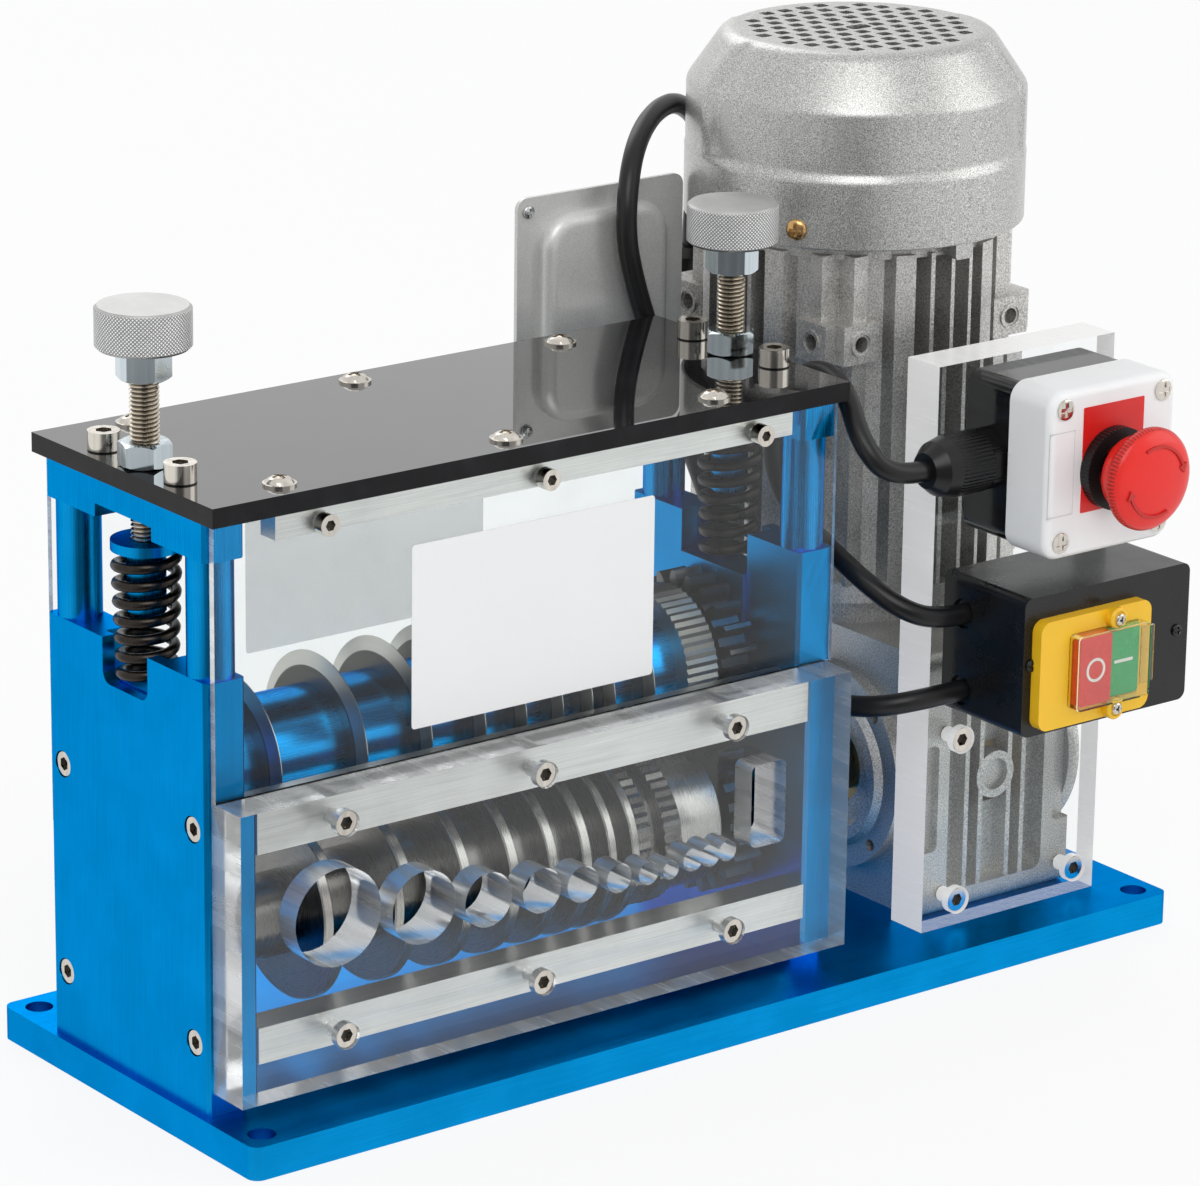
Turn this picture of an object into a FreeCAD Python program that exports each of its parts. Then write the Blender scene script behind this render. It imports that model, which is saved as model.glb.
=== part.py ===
import FreeCAD, Part
import math
import os

# Bench wire stripping machine, driven by a vertical motor through a worm gearbox.
# Units are millimetres. +X runs from the stripping head to the motor, -Y is the side
# where the wire goes in, +Z is up. The origin is the middle of the base's underside.

V = FreeCAD.Vector
X_AXIS = V(1, 0, 0)
Y_AXIS = V(0, 1, 0)
Z_AXIS = V(0, 0, 1)
RUNNING = 0.05
CLEARANCE = 0.3

# Base
BASE_LENGTH = 480.0
BASE_DEPTH = 184.0
BASE_THICK = 14.0
BASE_CORNER_R = 5.0
BASE_HOLE_R = 5.75
BASE_HOLE_INSET = 11.0

# Stripping head: two end plates with a bridge on posts above each
HEAD_X = -82.0
HEAD_HALF = 155.0
PLATE_THICK = 18.0
PLATE_HALF_Y = 56.0
PLATE_TOP = 192.5
PLATE_CHAMFER = 1.5
SKIN = 5.5
SLOT_HALF = 16.0
SLOT_BOTTOM = 174.0
SLOT_CORNER_R = 5.0
POCKET_HALF = 22.0
POCKET_BOTTOM = 111.8
BRIDGE_BOTTOM = 240.5
BRIDGE_TOP = 256.5
BRIDGE_NOTCH_HALF = 20.0
BRIDGE_NOTCH_DEPTH = 5.5
POST_R = 9.0
POST_Y = 46.0
COVER_HALF_X = 156.0
COVER_HALF_Y = 64.0
COVER_THICK = 8.0
CAP_SCREW_Y = 27.0

# Feed roller and blades
ROLLER_Z = 71.0
BLADE_Z = 137.2
SHAFT_R = 12.5
ROLLER_LEFT = -214.0
ROLLER_RIGHT = 32.0
RIDGE_R = 37.0
KNURL_R = 33.5
PLAIN_END_R = 30.5
BLADE_SHAFT_R = 10.0
BLADE_JOURNAL_R = 8.5
BLADE_R = 36.5
BLADE_BEVEL_R = 30.0
BLADE_HALF = 2.0
BLADE_EDGE_HALF = 0.15
SPACER_R = 23.5
GEAR_MODULE = 3.0
GEAR_TEETH = 22
GEAR_LEFT = 37.0
GEAR_WIDTH = 14.0
RING_LEFT = 17.0
RING_WIDTH = 16.0
RING_R = 32.0
# Each feed hole: its middle along X and its diameter; all stand on one line
FEED_HOLES = [
    (-189.0, 40.5),
    (-148.0, 30.5),
    (-116.5, 23.0),
    (-90.0, 19.0),
    (-69.5, 15.5),
    (-51.0, 12.5),
    (-36.0, 10.0),
    (-24.5, 8.0),
]
FEED_HOLE_BOTTOM = 73.0
FLAT_HOLES = [(-13.0, 10.0), (-4.0, 10.0), (5.0, 9.0)]
FLAT_HOLE_Z = 79.0
FLAT_BLADE_X = -4.0
# Each ridge of the roller: its middle along X and its width
RIDGES = [
    (-166.0, 4.8),
    (-131.5, 4.8),
    (-103.5, 4.8),
    (-80.0, 4.8),
    (-60.5, 4.8),
    (-43.5, 4.8),
    (-30.25, 4.0),
    (-18.5, 4.0),
]
CHANNEL_R = [17.0, 20.0, 24.0, 26.5, 28.0, 28.6, 28.9, 29.0]
KNURL_BANDS = [(-16.0, -7.5), (-0.5, 8.0)]
KNURL_TEETH = 48

# Feed panel and windows in front
PANEL_LEFT = -234.4
PANEL_RIGHT = 69.0
PANEL_FRONT = -76.0
PANEL_BOTTOM = 23.5
PANEL_TOP = 144.0
FLAT_SLOT = (17.0, 35.0, 77.0, 113.0)
FLAT_SLOT_R = 3.0
PANEL_SCREW_X = [-184.5, -88.0, 9.5]
BAR_DEPTH = 14.0
UPPER_BAR = (122.0, 140.0)
LOWER_BAR = (35.0, 50.0)
WINDOW_THICK = 3.0
WINDOW_RIGHT = 72.0
REAR_WINDOW_BOTTOM = 103.0
RAIL_LEFT = -205.0
RAIL_RIGHT = 49.5
RAIL_DEPTH = 10.0
RAIL_HEIGHT = 12.0
WINDOW_SCREW_X = [-184.0, -78.0, 30.5]
WINDOW_SCREW_Z = 248.5
COVER_SCREW_X = [-199.0, -91.5, 13.0]
COVER_SCREW_Y = 51.5

# Spring loading of the blade shaft
ADJUST_OFFSET = 144.5
SCREW_R = 6.0
SCREW_BOTTOM = 210.2
SCREW_TOP = 319.5
BLOCK_HALF_Y = 21.7
BLOCK_THICK = 14.0
BLOCK_BOTTOM = 112.0
BLOCK_TOP = 175.0
BLOCK_BEARING_R = 17.5
BLOCK_BEARING_WIDTH = 10.0
CAP_FLANGE_R = 14.0
CAP_BOSS_R = 7.8
CAP_TOP = 235.0
CAP_FLANGE = 4.0
CAP_BOTTOM = 205.0
WIRE_R = 2.2
SPRING_BOTTOM_R = 10.3
SPRING_TOP_R = 12.05
SPRING_TURNS = 7
SPRING_END_GAP = 0.1
NUT_AF = 19.0
LOCK_NUT_HEIGHT = 10.0
KNOB_NUT_BOTTOM = 299.0
KNOB_NUT_HEIGHT = 12.0
KNOB_BOTTOM = 311.5
KNOB_HEIGHT = 17.0
KNOB_R = 19.0

# Gearbox: hollow output shaft in line with the roller, upright worm behind it
DRIVE_X = 170.0
WORM_Y = 50.0
BOX_HALF_X = 42.0
BOX_FRONT = -46.0
BOX_TOP = 132.0
WHEEL_R = 38.0
WHEEL_HALF = 13.0
HOLLOW_SHAFT_R = 17.0
WORM_R = 10.5
WORM_SHAFT_R = 9.0
MOTOR_SHAFT_R = 7.0

# Motor
FLANGE_R = 60.0
MOTOR_BOTTOM = 143.0
MOTOR_TOP = 300.0
MOTOR_CORE_R = 54.0
MOTOR_CORNER_R = 59.5
MOTOR_FIN_R = 66.5
FIN_THICK = 2.0
FIN_PITCH = 10.5
WIDE_FIN = (18.5, 27.0)
ROTOR_R = 30.0
LUG_Z = 250.5
LUG_HEIGHT = 17.0
LUG_PLANE = 57.0
LUG_HOLE = 41.8
LUG_HALF = 9.6
LUG_DEPTH = 16.0
LUG_RING_R = 5.6
LUG_RIDGE = 3.8
FAN_COVER_R = 73.5
FAN_BAND_R = 71.5
FAN_BAND_LOW = (329.0, 332.0)
FAN_CONE_LOW = 358.5
FAN_COVER_TOP = 380.5
FAN_COVER_TOP_R = 56.0
FAN_COVER_SHEET = 1.6
FAN_PAD_HALF = 26.0
FAN_PAD_RISE = 1.7
FAN_PAD_TURNS = (148.0, -32.0)
FAN_TAB = (9.0, 6.5)
GRILLE_R = 48.0
GRILLE_PITCH = 10.0
GRILLE_HOLE = 4.6
FAN_R = 58.0
FAN_BLADES = 8
COVER_SCREW_TURN = 31.0

# Terminal box beside the motor
TERMINAL_LEFT = 16.0
TERMINAL_RIGHT = 104.5
TERMINAL_FRONT = 79.0
TERMINAL_BACK = 118.0
TERMINAL_BOTTOM = 214.0
TERMINAL_TOP = 318.5
TERMINAL_WALL = 2.5
LID_DEPTH = 9.0
LID_RIM = 2.0
NECK_X = (106.0, 156.0)
NECK_Y = (92.0, 139.5)
NECK_Z = (218.0, 248.0)

# Control plate with the stop button and the switch
CONTROL_LEFT = 119.7
CONTROL_RIGHT = 217.3
CONTROL_FRONT = -67.0
CONTROL_THICK = 20.0
CONTROL_TOP = 264.0
CONTROL_SCREWS = [(140.0, 24.5), (207.0, 24.5), (140.0, 97.0), (207.0, 97.0)]
ESTOP_X = 169.0
ESTOP_Z = 226.0
ESTOP_HALF_X = 35.0
ESTOP_HALF_Z = 36.0
ESTOP_BASE_DEPTH = 28.0
ESTOP_COVER_DEPTH = 25.0
ESTOP_SCREW_X = 27.0
ESTOP_SCREW_Z = 28.5
MUSHROOM_R = 21.8
ESTOP_TRAVEL = 5.0
BOX_LEFT = 126.4
BOX_RIGHT = 219.0
BOX_LOW = 114.5
BOX_HIGH = 175.0
BOX_DEPTH = 50.5
SWITCH_X = 161.75
SWITCH_Z = 141.5
SWITCH_HALF_X = 30.75
SWITCH_HALF_Z = 23.75
SWITCH_THICK = 5.5
SWITCH_BOSS_X = 171.0
BUTTON_WIDTH = 17.4
BUTTON_HALF_Z = 15.0
RED_X = 158.0
GREEN_X = 176.2
SWITCH_BOSS_R = 3.1
SWITCH_BOSS_RISE = 19.5
HOOD_SKIN = 0.8

# Leads
LEAD_R = 4.5
LEAD_HOLE_Y = -79.0
LEAD_HOLE_Z = (159.0, 125.4)
# Route of the motor lead, from its gland behind the motor to the switch box
MOTOR_LEAD = [
    (142.0, 126.0, 273.0),
    (142.0, 126.0, 292.0),
    (141.5, 125.5, 313.0),
    (136.0, 121.5, 331.0),
    (121.5, 112.5, 342.5),
    (104.5, 103.5, 343.5),
    (87.5, 92.5, 339.5),
    (72.5, 80.5, 331.0),
    (64.0, 73.0, 316.0),
    (62.3, 71.0, 298.5),
    (66.5, 71.0, 281.0),
    (73.0, 70.8, 262.0),
    (80.0, 69.0, 240.0),
    (86.2, 63.4, 217.5),
    (89.2, 53.9, 196.4),
    (89.6, 41.5, 176.4),
    (88.9, 27.0, 157.7),
    (87.4, 9.1, 140.1),
    (85.1, -14.7, 125.2),
    (83.8, -42.9, 117.8),
    (91.0, -67.1, 121.3),
    (107.3, -79.0, 125.4),
    (127.9, -79.0, 125.4),
]
# Route of the stop button's lead, down beside the end plate to the switch box
ESTOP_LEAD = [
    (101.0, -81.0, 226.0),
    (82.5, -81.0, 226.0),
    (74.7, -71.2, 239.7),
    (81.7, -52.9, 256.2),
    (88.0, -33.0, 259.8),
    (89.2, -17.4, 255.8),
    (89.0, -4.6, 244.9),
    (89.1, 3.7, 229.6),
    (89.4, 4.5, 212.9),
    (90.0, -2.6, 198.5),
    (90.4, -15.3, 188.9),
    (90.3, -32.6, 183.4),
    (90.7, -53.3, 175.0),
    (98.3, -71.2, 164.4),
    (112.0, -79.0, 159.0),
    (127.9, -79.0, 159.0),
]

MODEL = {}


# Basic forms
def box(x0, x1, y0, y1, z0, z1):
    return Part.makeBox(x1 - x0, y1 - y0, z1 - z0, V(x0, y0, z0))


def rod(start, axis, radius, length):
    return Part.makeCylinder(radius, length, start, axis)


def ring(start, axis, outer, inner, length):
    return rod(start, axis, outer, length).cut(rod(start, axis, inner, length))


def joined(shapes):
    whole = shapes[0]
    for shape in shapes[1:]:
        whole = whole.fuse(shape)
    return whole.removeSplitter()


def frame_at(start, axis):
    """A placement whose Z runs along the axis, with its X level where that is possible."""
    return FreeCAD.Placement(start, FreeCAD.Rotation(Z_AXIS, axis))


def prism(start, axis, corners, length, turn=0.0):
    """A straight prism on a polygon given in its own plane."""
    points = [V(x, y, 0) for x, y in corners]
    face = Part.Face(Part.makePolygon(points + points[:1]))
    solid = face.extrude(V(0, 0, length))
    solid.rotate(V(0, 0, 0), Z_AXIS, turn)
    solid.Placement = frame_at(start, axis).multiply(solid.Placement)
    return solid


def hex_prism(start, axis, across_flats, length):
    reach = across_flats / math.sqrt(3.0)
    steps = [math.radians(60.0 * i) for i in range(6)]
    return prism(start, axis, [(reach * math.cos(a), reach * math.sin(a)) for a in steps], length)


def turned(start, axis, profile):
    """A turned solid from (distance along the axis, radius) pairs."""
    points = [V(radius, 0, along) for along, radius in profile]
    face = Part.Face(Part.makePolygon(points + points[:1]))
    solid = face.revolve(V(0, 0, 0), Z_AXIS, 360)
    solid.Placement = frame_at(start, axis)
    return solid


def edges_where(shape, test):
    return [edge for edge in shape.Edges if test(edge)]


def runs_along(edge, axis):
    if not isinstance(edge.Curve, Part.Line):
        return False
    direction = edge.Vertexes[-1].Point - edge.Vertexes[0].Point
    return direction.normalize().cross(axis).Length < 1e-6


def rounded(shape, radius, axis):
    """Rounds the straight edges that run along the axis."""
    return shape.makeFillet(radius, edges_where(shape, lambda edge: runs_along(edge, axis)))


def bevelled(shape, size, axis):
    return shape.makeChamfer(size, edges_where(shape, lambda edge: runs_along(edge, axis)))


def mirrored(shape):
    """The same piece at the head's other end."""
    return shape.mirror(V(HEAD_X, 0, 0), X_AXIS)


def pair(shape):
    return [shape, mirrored(shape)]


def save(name, shapes):
    solids = shapes if isinstance(shapes, list) else [shapes]
    MODEL[name] = solids[0] if len(solids) == 1 else Part.makeCompound(solids)


# Fasteners
def socket_screw(seat, inward, shank_r, shank_length, head_r, head_height, key):
    head = rod(seat, inward * -1, head_r, head_height)
    shank = rod(seat, inward, shank_r, shank_length)
    mouth = seat + inward * (0.45 * head_height - head_height)
    recess = hex_prism(mouth, inward * -1, key, head_height)
    return head.fuse(shank).cut(recess)


def pan_screw(seat, inward, shank_r, shank_length, head_r, head_height):
    profile = [
        (-shank_length, 0.0),
        (-shank_length, shank_r),
        (0.0, shank_r),
        (0.0, head_r),
        (0.45 * head_height, 0.93 * head_r),
        (0.85 * head_height, 0.6 * head_r),
        (head_height, 0.0),
    ]
    return turned(seat, inward * -1, profile)


# Base plate with its four bench holes
def make_base():
    half_x = BASE_LENGTH / 2
    half_y = BASE_DEPTH / 2
    plate = rounded(box(-half_x, half_x, -half_y, half_y, 0, BASE_THICK), BASE_CORNER_R, Z_AXIS)
    for side_x in (-1, 1):
        for side_y in (-1, 1):
            x = side_x * (half_x - BASE_HOLE_INSET)
            y = side_y * (half_y - BASE_HOLE_INSET)
            plate = plate.cut(rod(V(x, y, -1), Z_AXIS, BASE_HOLE_R, BASE_THICK + 2))
    save("base_plate", plate)


# End plates
BEARING_R = 23.5
BEARING_WIDTH = 12.0
PLATE_OUTER = HEAD_X - HEAD_HALF
PLATE_INNER = PLATE_OUTER + PLATE_THICK
PLATE_MIDDLE = PLATE_OUTER + PLATE_THICK / 2
SIDE_SCREW_Y = 46.5
SIDE_SCREW_Z = (131.0, 42.5)
SIDE_SCREW_R = 3.0
SIDE_HEAD_R = 5.0
SIDE_HEAD = 6.0
SIDE_SEAT = 6.5
ADJUST_X = HEAD_X - ADJUST_OFFSET


def make_end_plates():
    plate = box(PLATE_OUTER, PLATE_INNER, -PLATE_HALF_Y, PLATE_HALF_Y, BASE_THICK, PLATE_TOP)
    plate = bevelled(plate, PLATE_CHAMFER, Z_AXIS)
    slot = box(PLATE_OUTER - 1, PLATE_INNER, -SLOT_HALF, SLOT_HALF, SLOT_BOTTOM, PLATE_TOP + 20)
    slot = rounded(slot, SLOT_CORNER_R, X_AXIS)
    pocket_back = PLATE_OUTER + SKIN
    pocket = box(pocket_back, PLATE_INNER + 1, -POCKET_HALF, POCKET_HALF, POCKET_BOTTOM, PLATE_TOP + 1)
    seat = rod(V(pocket_back, 0, ROLLER_Z), X_AXIS, BEARING_R, PLATE_THICK)
    plate = plate.cut(slot).cut(pocket).cut(seat)
    for y in (-SIDE_SCREW_Y, SIDE_SCREW_Y):
        for z in SIDE_SCREW_Z:
            start = V(PLATE_OUTER - 1, y, z)
            plate = plate.cut(rod(start, X_AXIS, SIDE_SCREW_R + CLEARANCE, PLATE_THICK + 2))
            plate = plate.cut(rod(start, X_AXIS, SIDE_HEAD_R + 0.5, SIDE_SEAT + 1))
    save("left_end_plate", plate)
    right = mirrored(plate)
    shaft_way = rod(V(2 * HEAD_X - PLATE_INNER, 0, ROLLER_Z), X_AXIS, SHAFT_R + 1.5, PLATE_THICK + 1)
    save("right_end_plate", right.cut(shaft_way))
    screws = []
    for y in (-SIDE_SCREW_Y, SIDE_SCREW_Y):
        for z in SIDE_SCREW_Z:
            seat = V(PLATE_OUTER + SIDE_SEAT, y, z)
            screws += pair(socket_screw(seat, X_AXIS, SIDE_SCREW_R, 26.0, SIDE_HEAD_R, SIDE_HEAD, 5.0))
    for x in WINDOW_SCREW_X:
        for side in (-1, 1):
            seat = V(x, side * (PLATE_HALF_Y + WINDOW_THICK), WINDOW_SCREW_Z)
            screws.append(socket_screw(seat, Y_AXIS * -side, 2.5, 10.0, 4.4, 5.0, 4.0))
    return screws


# Posts, bridges and the cover over them
def make_upper_frame():
    posts = []
    for y in (-POST_Y, POST_Y):
        post = rod(V(PLATE_MIDDLE, y, PLATE_TOP), Z_AXIS, POST_R, BRIDGE_BOTTOM - PLATE_TOP)
        posts += pair(post)
    save("guide_posts", posts)
    bridge = box(PLATE_OUTER, PLATE_INNER, -PLATE_HALF_Y, PLATE_HALF_Y, BRIDGE_BOTTOM, BRIDGE_TOP)
    notch_top = BRIDGE_BOTTOM + BRIDGE_NOTCH_DEPTH
    notch = box(PLATE_OUTER - 1, PLATE_INNER + 1, -BRIDGE_NOTCH_HALF, BRIDGE_NOTCH_HALF, BRIDGE_BOTTOM - 1, notch_top)
    bridge = bevelled(bridge, PLATE_CHAMFER, Z_AXIS).cut(notch)
    bridge = bridge.cut(rod(V(ADJUST_X, 0, BRIDGE_BOTTOM), Z_AXIS, SCREW_R + 2 * RUNNING, 30))
    cover_top = BRIDGE_TOP + COVER_THICK
    cover = box(-COVER_HALF_X, COVER_HALF_X, -COVER_HALF_Y, COVER_HALF_Y, BRIDGE_TOP, cover_top)
    cover.translate(V(HEAD_X, 0, 0))
    cap_screws = []
    for y in (-CAP_SCREW_Y, CAP_SCREW_Y):
        bridge = bridge.cut(rod(V(PLATE_MIDDLE, y, BRIDGE_BOTTOM - 1), Z_AXIS, 4.0 + RUNNING, 30))
        for hole in pair(rod(V(PLATE_MIDDLE, y, BRIDGE_TOP - 1), Z_AXIS, 4.0 + CLEARANCE, 20)):
            cover = cover.cut(hole)
        cap_screws += pair(socket_screw(V(PLATE_MIDDLE, y, cover_top), Z_AXIS * -1, 4.0, 20.0, 6.5, 8.0, 6.0))
    for hole in pair(rod(V(ADJUST_X, 0, BRIDGE_TOP - 1), Z_AXIS, SCREW_R + 1, 20)):
        cover = cover.cut(hole)
    rails = []
    for side in (-1, 1):
        near = PLATE_HALF_Y - RAIL_DEPTH
        rail = box(RAIL_LEFT, RAIL_RIGHT, near, PLATE_HALF_Y, BRIDGE_TOP - RAIL_HEIGHT, BRIDGE_TOP)
        for x in WINDOW_SCREW_X:
            rail = rail.cut(rod(V(x, PLATE_HALF_Y + 1, WINDOW_SCREW_Z), Y_AXIS * -1, 2.5 + RUNNING, 9))
        for x in COVER_SCREW_X:
            rail = rail.cut(rod(V(x, COVER_SCREW_Y, BRIDGE_TOP + 1), Z_AXIS * -1, 2.5 + RUNNING, 9))
        rails.append(rail if side > 0 else rail.mirror(V(0, 0, 0), Y_AXIS))
    cover_screws = []
    for x in COVER_SCREW_X:
        for y in (-COVER_SCREW_Y, COVER_SCREW_Y):
            cover = cover.cut(rod(V(x, y, BRIDGE_TOP - 1), Z_AXIS, 2.5 + CLEARANCE, 20))
            cover_screws.append(pan_screw(V(x, y, cover_top), Z_AXIS * -1, 2.5, 15.0, 6.6, 4.0))
    save("bridges", pair(bridge))
    save("top_cover", cover)
    save("window_rails", rails)
    save("bridge_cap_screws", cap_screws)
    return cover_screws


# Clear windows, feed panel and the tie bars behind them
def make_windows():
    front = box(PANEL_LEFT, WINDOW_RIGHT, -PLATE_HALF_Y - WINDOW_THICK, -PLATE_HALF_Y, PANEL_TOP, BRIDGE_TOP)
    rear = box(PANEL_LEFT, WINDOW_RIGHT, PLATE_HALF_Y, PLATE_HALF_Y + WINDOW_THICK, REAR_WINDOW_BOTTOM, BRIDGE_TOP)
    for x in WINDOW_SCREW_X:
        front = front.cut(rod(V(x, -70, WINDOW_SCREW_Z), Y_AXIS, 2.5 + CLEARANCE, 20))
        rear = rear.cut(rod(V(x, 50, WINDOW_SCREW_Z), Y_AXIS, 2.5 + CLEARANCE, 20))
    save("front_window", front)
    save("rear_window", rear)


def rounded_window(x0, x1, z0, z1, radius):
    return rounded(box(x0, x1, PANEL_FRONT - 1, -PLATE_HALF_Y + 1, z0, z1), radius, Y_AXIS)


def make_feed_panel():
    panel = box(PANEL_LEFT, PANEL_RIGHT, PANEL_FRONT, -PLATE_HALF_Y, PANEL_BOTTOM, PANEL_TOP)
    for x, diameter in FEED_HOLES:
        centre = V(x, PANEL_FRONT - 1, FEED_HOLE_BOTTOM + diameter / 2)
        panel = panel.cut(rod(centre, Y_AXIS, diameter / 2, 30))
    flat = [rod(V(x, PANEL_FRONT - 1, FLAT_HOLE_Z), Y_AXIS, d / 2, 30) for x, d in FLAT_HOLES]
    panel = panel.cut(joined(flat))
    panel = panel.cut(rounded_window(*FLAT_SLOT, FLAT_SLOT_R))
    screws = []
    for x in PANEL_SCREW_X:
        for z in SIDE_SCREW_Z:
            panel = panel.cut(rod(V(x, PANEL_FRONT - 1, z), Y_AXIS, 5.5, 8))
            panel = panel.cut(rod(V(x, PANEL_FRONT - 1, z), Y_AXIS, 3.3, 30))
            screws.append(socket_screw(V(x, PANEL_FRONT + 7, z), Y_AXIS, 3.0, 22.0, 5.0, 6.0, 5.0))
    for x, z in CONTROL_SCREWS:
        screws.append(socket_screw(V(x, CONTROL_FRONT + 7, z), Y_AXIS, 3.0, 22.0, 5.0, 6.0, 5.0))
    save("feed_panel", panel)
    save("tie_bars", [tie_bar(side, *bar) for side in (-1, 1) for bar in (UPPER_BAR, LOWER_BAR)])
    return screws


def tie_bar(side, low, high):
    """An aluminium bar between the end plates, tapped at its ends and, in front, for the panel."""
    right = 2 * HEAD_X - PLATE_INNER
    bar = box(PLATE_INNER, right, PLATE_HALF_Y - BAR_DEPTH, PLATE_HALF_Y, low, high)
    z = SIDE_SCREW_Z[0] if low > 100 else SIDE_SCREW_Z[1]
    for end, inward in ((PLATE_INNER, 1), (right, -1)):
        bar = bar.cut(rod(V(end - inward, SIDE_SCREW_Y, z), X_AXIS * inward, 3.0 + RUNNING, 20))
    if side > 0:
        return bar
    bar = bar.mirror(V(0, 0, 0), Y_AXIS)
    for x in PANEL_SCREW_X:
        bar = bar.cut(rod(V(x, -PLATE_HALF_Y - 1, z), Y_AXIS, 3.0 + RUNNING, BAR_DEPTH - 1))
    return bar


# Feed roller: ridges guide each wire under its blade, and the bands pull it through
def knurled_band(left, right, radius, teeth, depth):
    """A ring with straight V-shaped knurling round the X axis."""
    corners = []
    for i in range(2 * teeth):
        reach = radius if i % 2 else radius - depth
        angle = math.pi * i / teeth
        corners.append((reach * math.cos(angle), reach * math.sin(angle)))
    return prism(V(left, 0, 0), X_AXIS, corners, right - left)


def roller_profile():
    chamfer = 0.6
    points = [(PLATE_OUTER + SKIN + 0.3, 0.0), (PLATE_OUTER + SKIN + 0.3, SHAFT_R), (ROLLER_LEFT, SHAFT_R)]
    points.append((ROLLER_LEFT, CHANNEL_R[0]))
    for index, (middle, width) in enumerate(RIDGES):
        left = middle - width / 2
        right = middle + width / 2
        after = CHANNEL_R[index + 1] if index + 1 < len(CHANNEL_R) else CHANNEL_R[-1]
        points += [(left, CHANNEL_R[index]), (left, RIDGE_R - chamfer), (left + chamfer, RIDGE_R)]
        points += [(right - chamfer, RIDGE_R), (right, RIDGE_R - chamfer), (right, after)]
    last_band = KNURL_BANDS[-1][1]
    points += [(last_band, CHANNEL_R[-1]), (last_band + 2, CHANNEL_R[-1]), (last_band + 2, PLAIN_END_R)]
    points += [(ROLLER_RIGHT - 1, PLAIN_END_R), (ROLLER_RIGHT, PLAIN_END_R - 1), (ROLLER_RIGHT, SHAFT_R)]
    shaft_end = DRIVE_X + BOX_HALF_X + 1
    points += [(shaft_end - 1, SHAFT_R), (shaft_end, SHAFT_R - 1), (shaft_end, 0.0)]
    return points


def make_feed_roller():
    roller = turned(V(0, 0, 0), X_AXIS, roller_profile())
    for left, right in KNURL_BANDS:
        roller = roller.fuse(knurled_band(left, right, KNURL_R, KNURL_TEETH, 1.1))
    roller = roller.removeSplitter()
    roller.translate(V(0, 0, ROLLER_Z))
    save("feed_roller", roller)


# Gears: involute flanks from the base circle, a tooth or a gap on the line of centres
def involute_point(base_r, radius, start_angle, sign):
    roll = math.sqrt(max(radius * radius / (base_r * base_r) - 1.0, 0.0))
    angle = start_angle + sign * (roll - math.atan(roll))
    return (radius * math.cos(angle), radius * math.sin(angle))


def gear_outline(module, teeth, backlash):
    pitch_r = module * teeth / 2
    base_r = pitch_r * math.cos(math.radians(20.0))
    tip_r = pitch_r + module
    root_r = pitch_r - 1.25 * module
    inv = math.tan(math.radians(20.0)) - math.radians(20.0)
    half_tooth = math.pi / (2 * teeth) - backlash / (2 * pitch_r) + inv
    radii = [base_r, base_r + 0.35 * (tip_r - base_r), base_r + 0.7 * (tip_r - base_r), tip_r]
    corners = []
    for i in range(teeth):
        middle = 2 * math.pi * i / teeth
        foot = middle - half_tooth
        corners.append((root_r * math.cos(foot), root_r * math.sin(foot)))
        corners += [involute_point(base_r, r, middle - half_tooth, 1) for r in radii]
        corners += [involute_point(base_r, r, middle + half_tooth, -1) for r in reversed(radii)]
        foot = middle + half_tooth
        corners.append((root_r * math.cos(foot), root_r * math.sin(foot)))
    return corners


def spur_gear(centre_z, bore_r, hub_r, hub_length, tooth_turn):
    """A spur gear on the X axis with a hub on its left."""
    body = prism(V(GEAR_LEFT, 0, centre_z), X_AXIS, gear_outline(GEAR_MODULE, GEAR_TEETH, 0.25),
                 GEAR_WIDTH, tooth_turn)
    hub = rod(V(GEAR_LEFT - hub_length, 0, centre_z), X_AXIS, hub_r, hub_length)
    recess = ring(V(GEAR_LEFT + GEAR_WIDTH - 2, 0, centre_z), X_AXIS, 25.0, hub_r + 1.5, 3)
    bore = rod(V(GEAR_LEFT - 6, 0, centre_z), X_AXIS, bore_r, GEAR_WIDTH + 10)
    return body.fuse(hub).cut(recess).cut(bore)


def make_gears():
    half_pitch = 180.0 / GEAR_TEETH
    save("feed_gear", spur_gear(ROLLER_Z, SHAFT_R, 16.0, 5.0, 0.0))
    save("blade_gear", spur_gear(BLADE_Z, BLADE_SHAFT_R, 14.0, 4.0, half_pitch))


# Blade shaft with its discs, spacers and grip ring
def blade(x):
    profile = [
        (-BLADE_HALF, BLADE_SHAFT_R),
        (-BLADE_HALF, BLADE_BEVEL_R),
        (-BLADE_EDGE_HALF, BLADE_R),
        (BLADE_EDGE_HALF, BLADE_R),
        (BLADE_HALF, BLADE_BEVEL_R),
        (BLADE_HALF, BLADE_SHAFT_R),
    ]
    return turned(V(x, 0, BLADE_Z), X_AXIS, profile)


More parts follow.
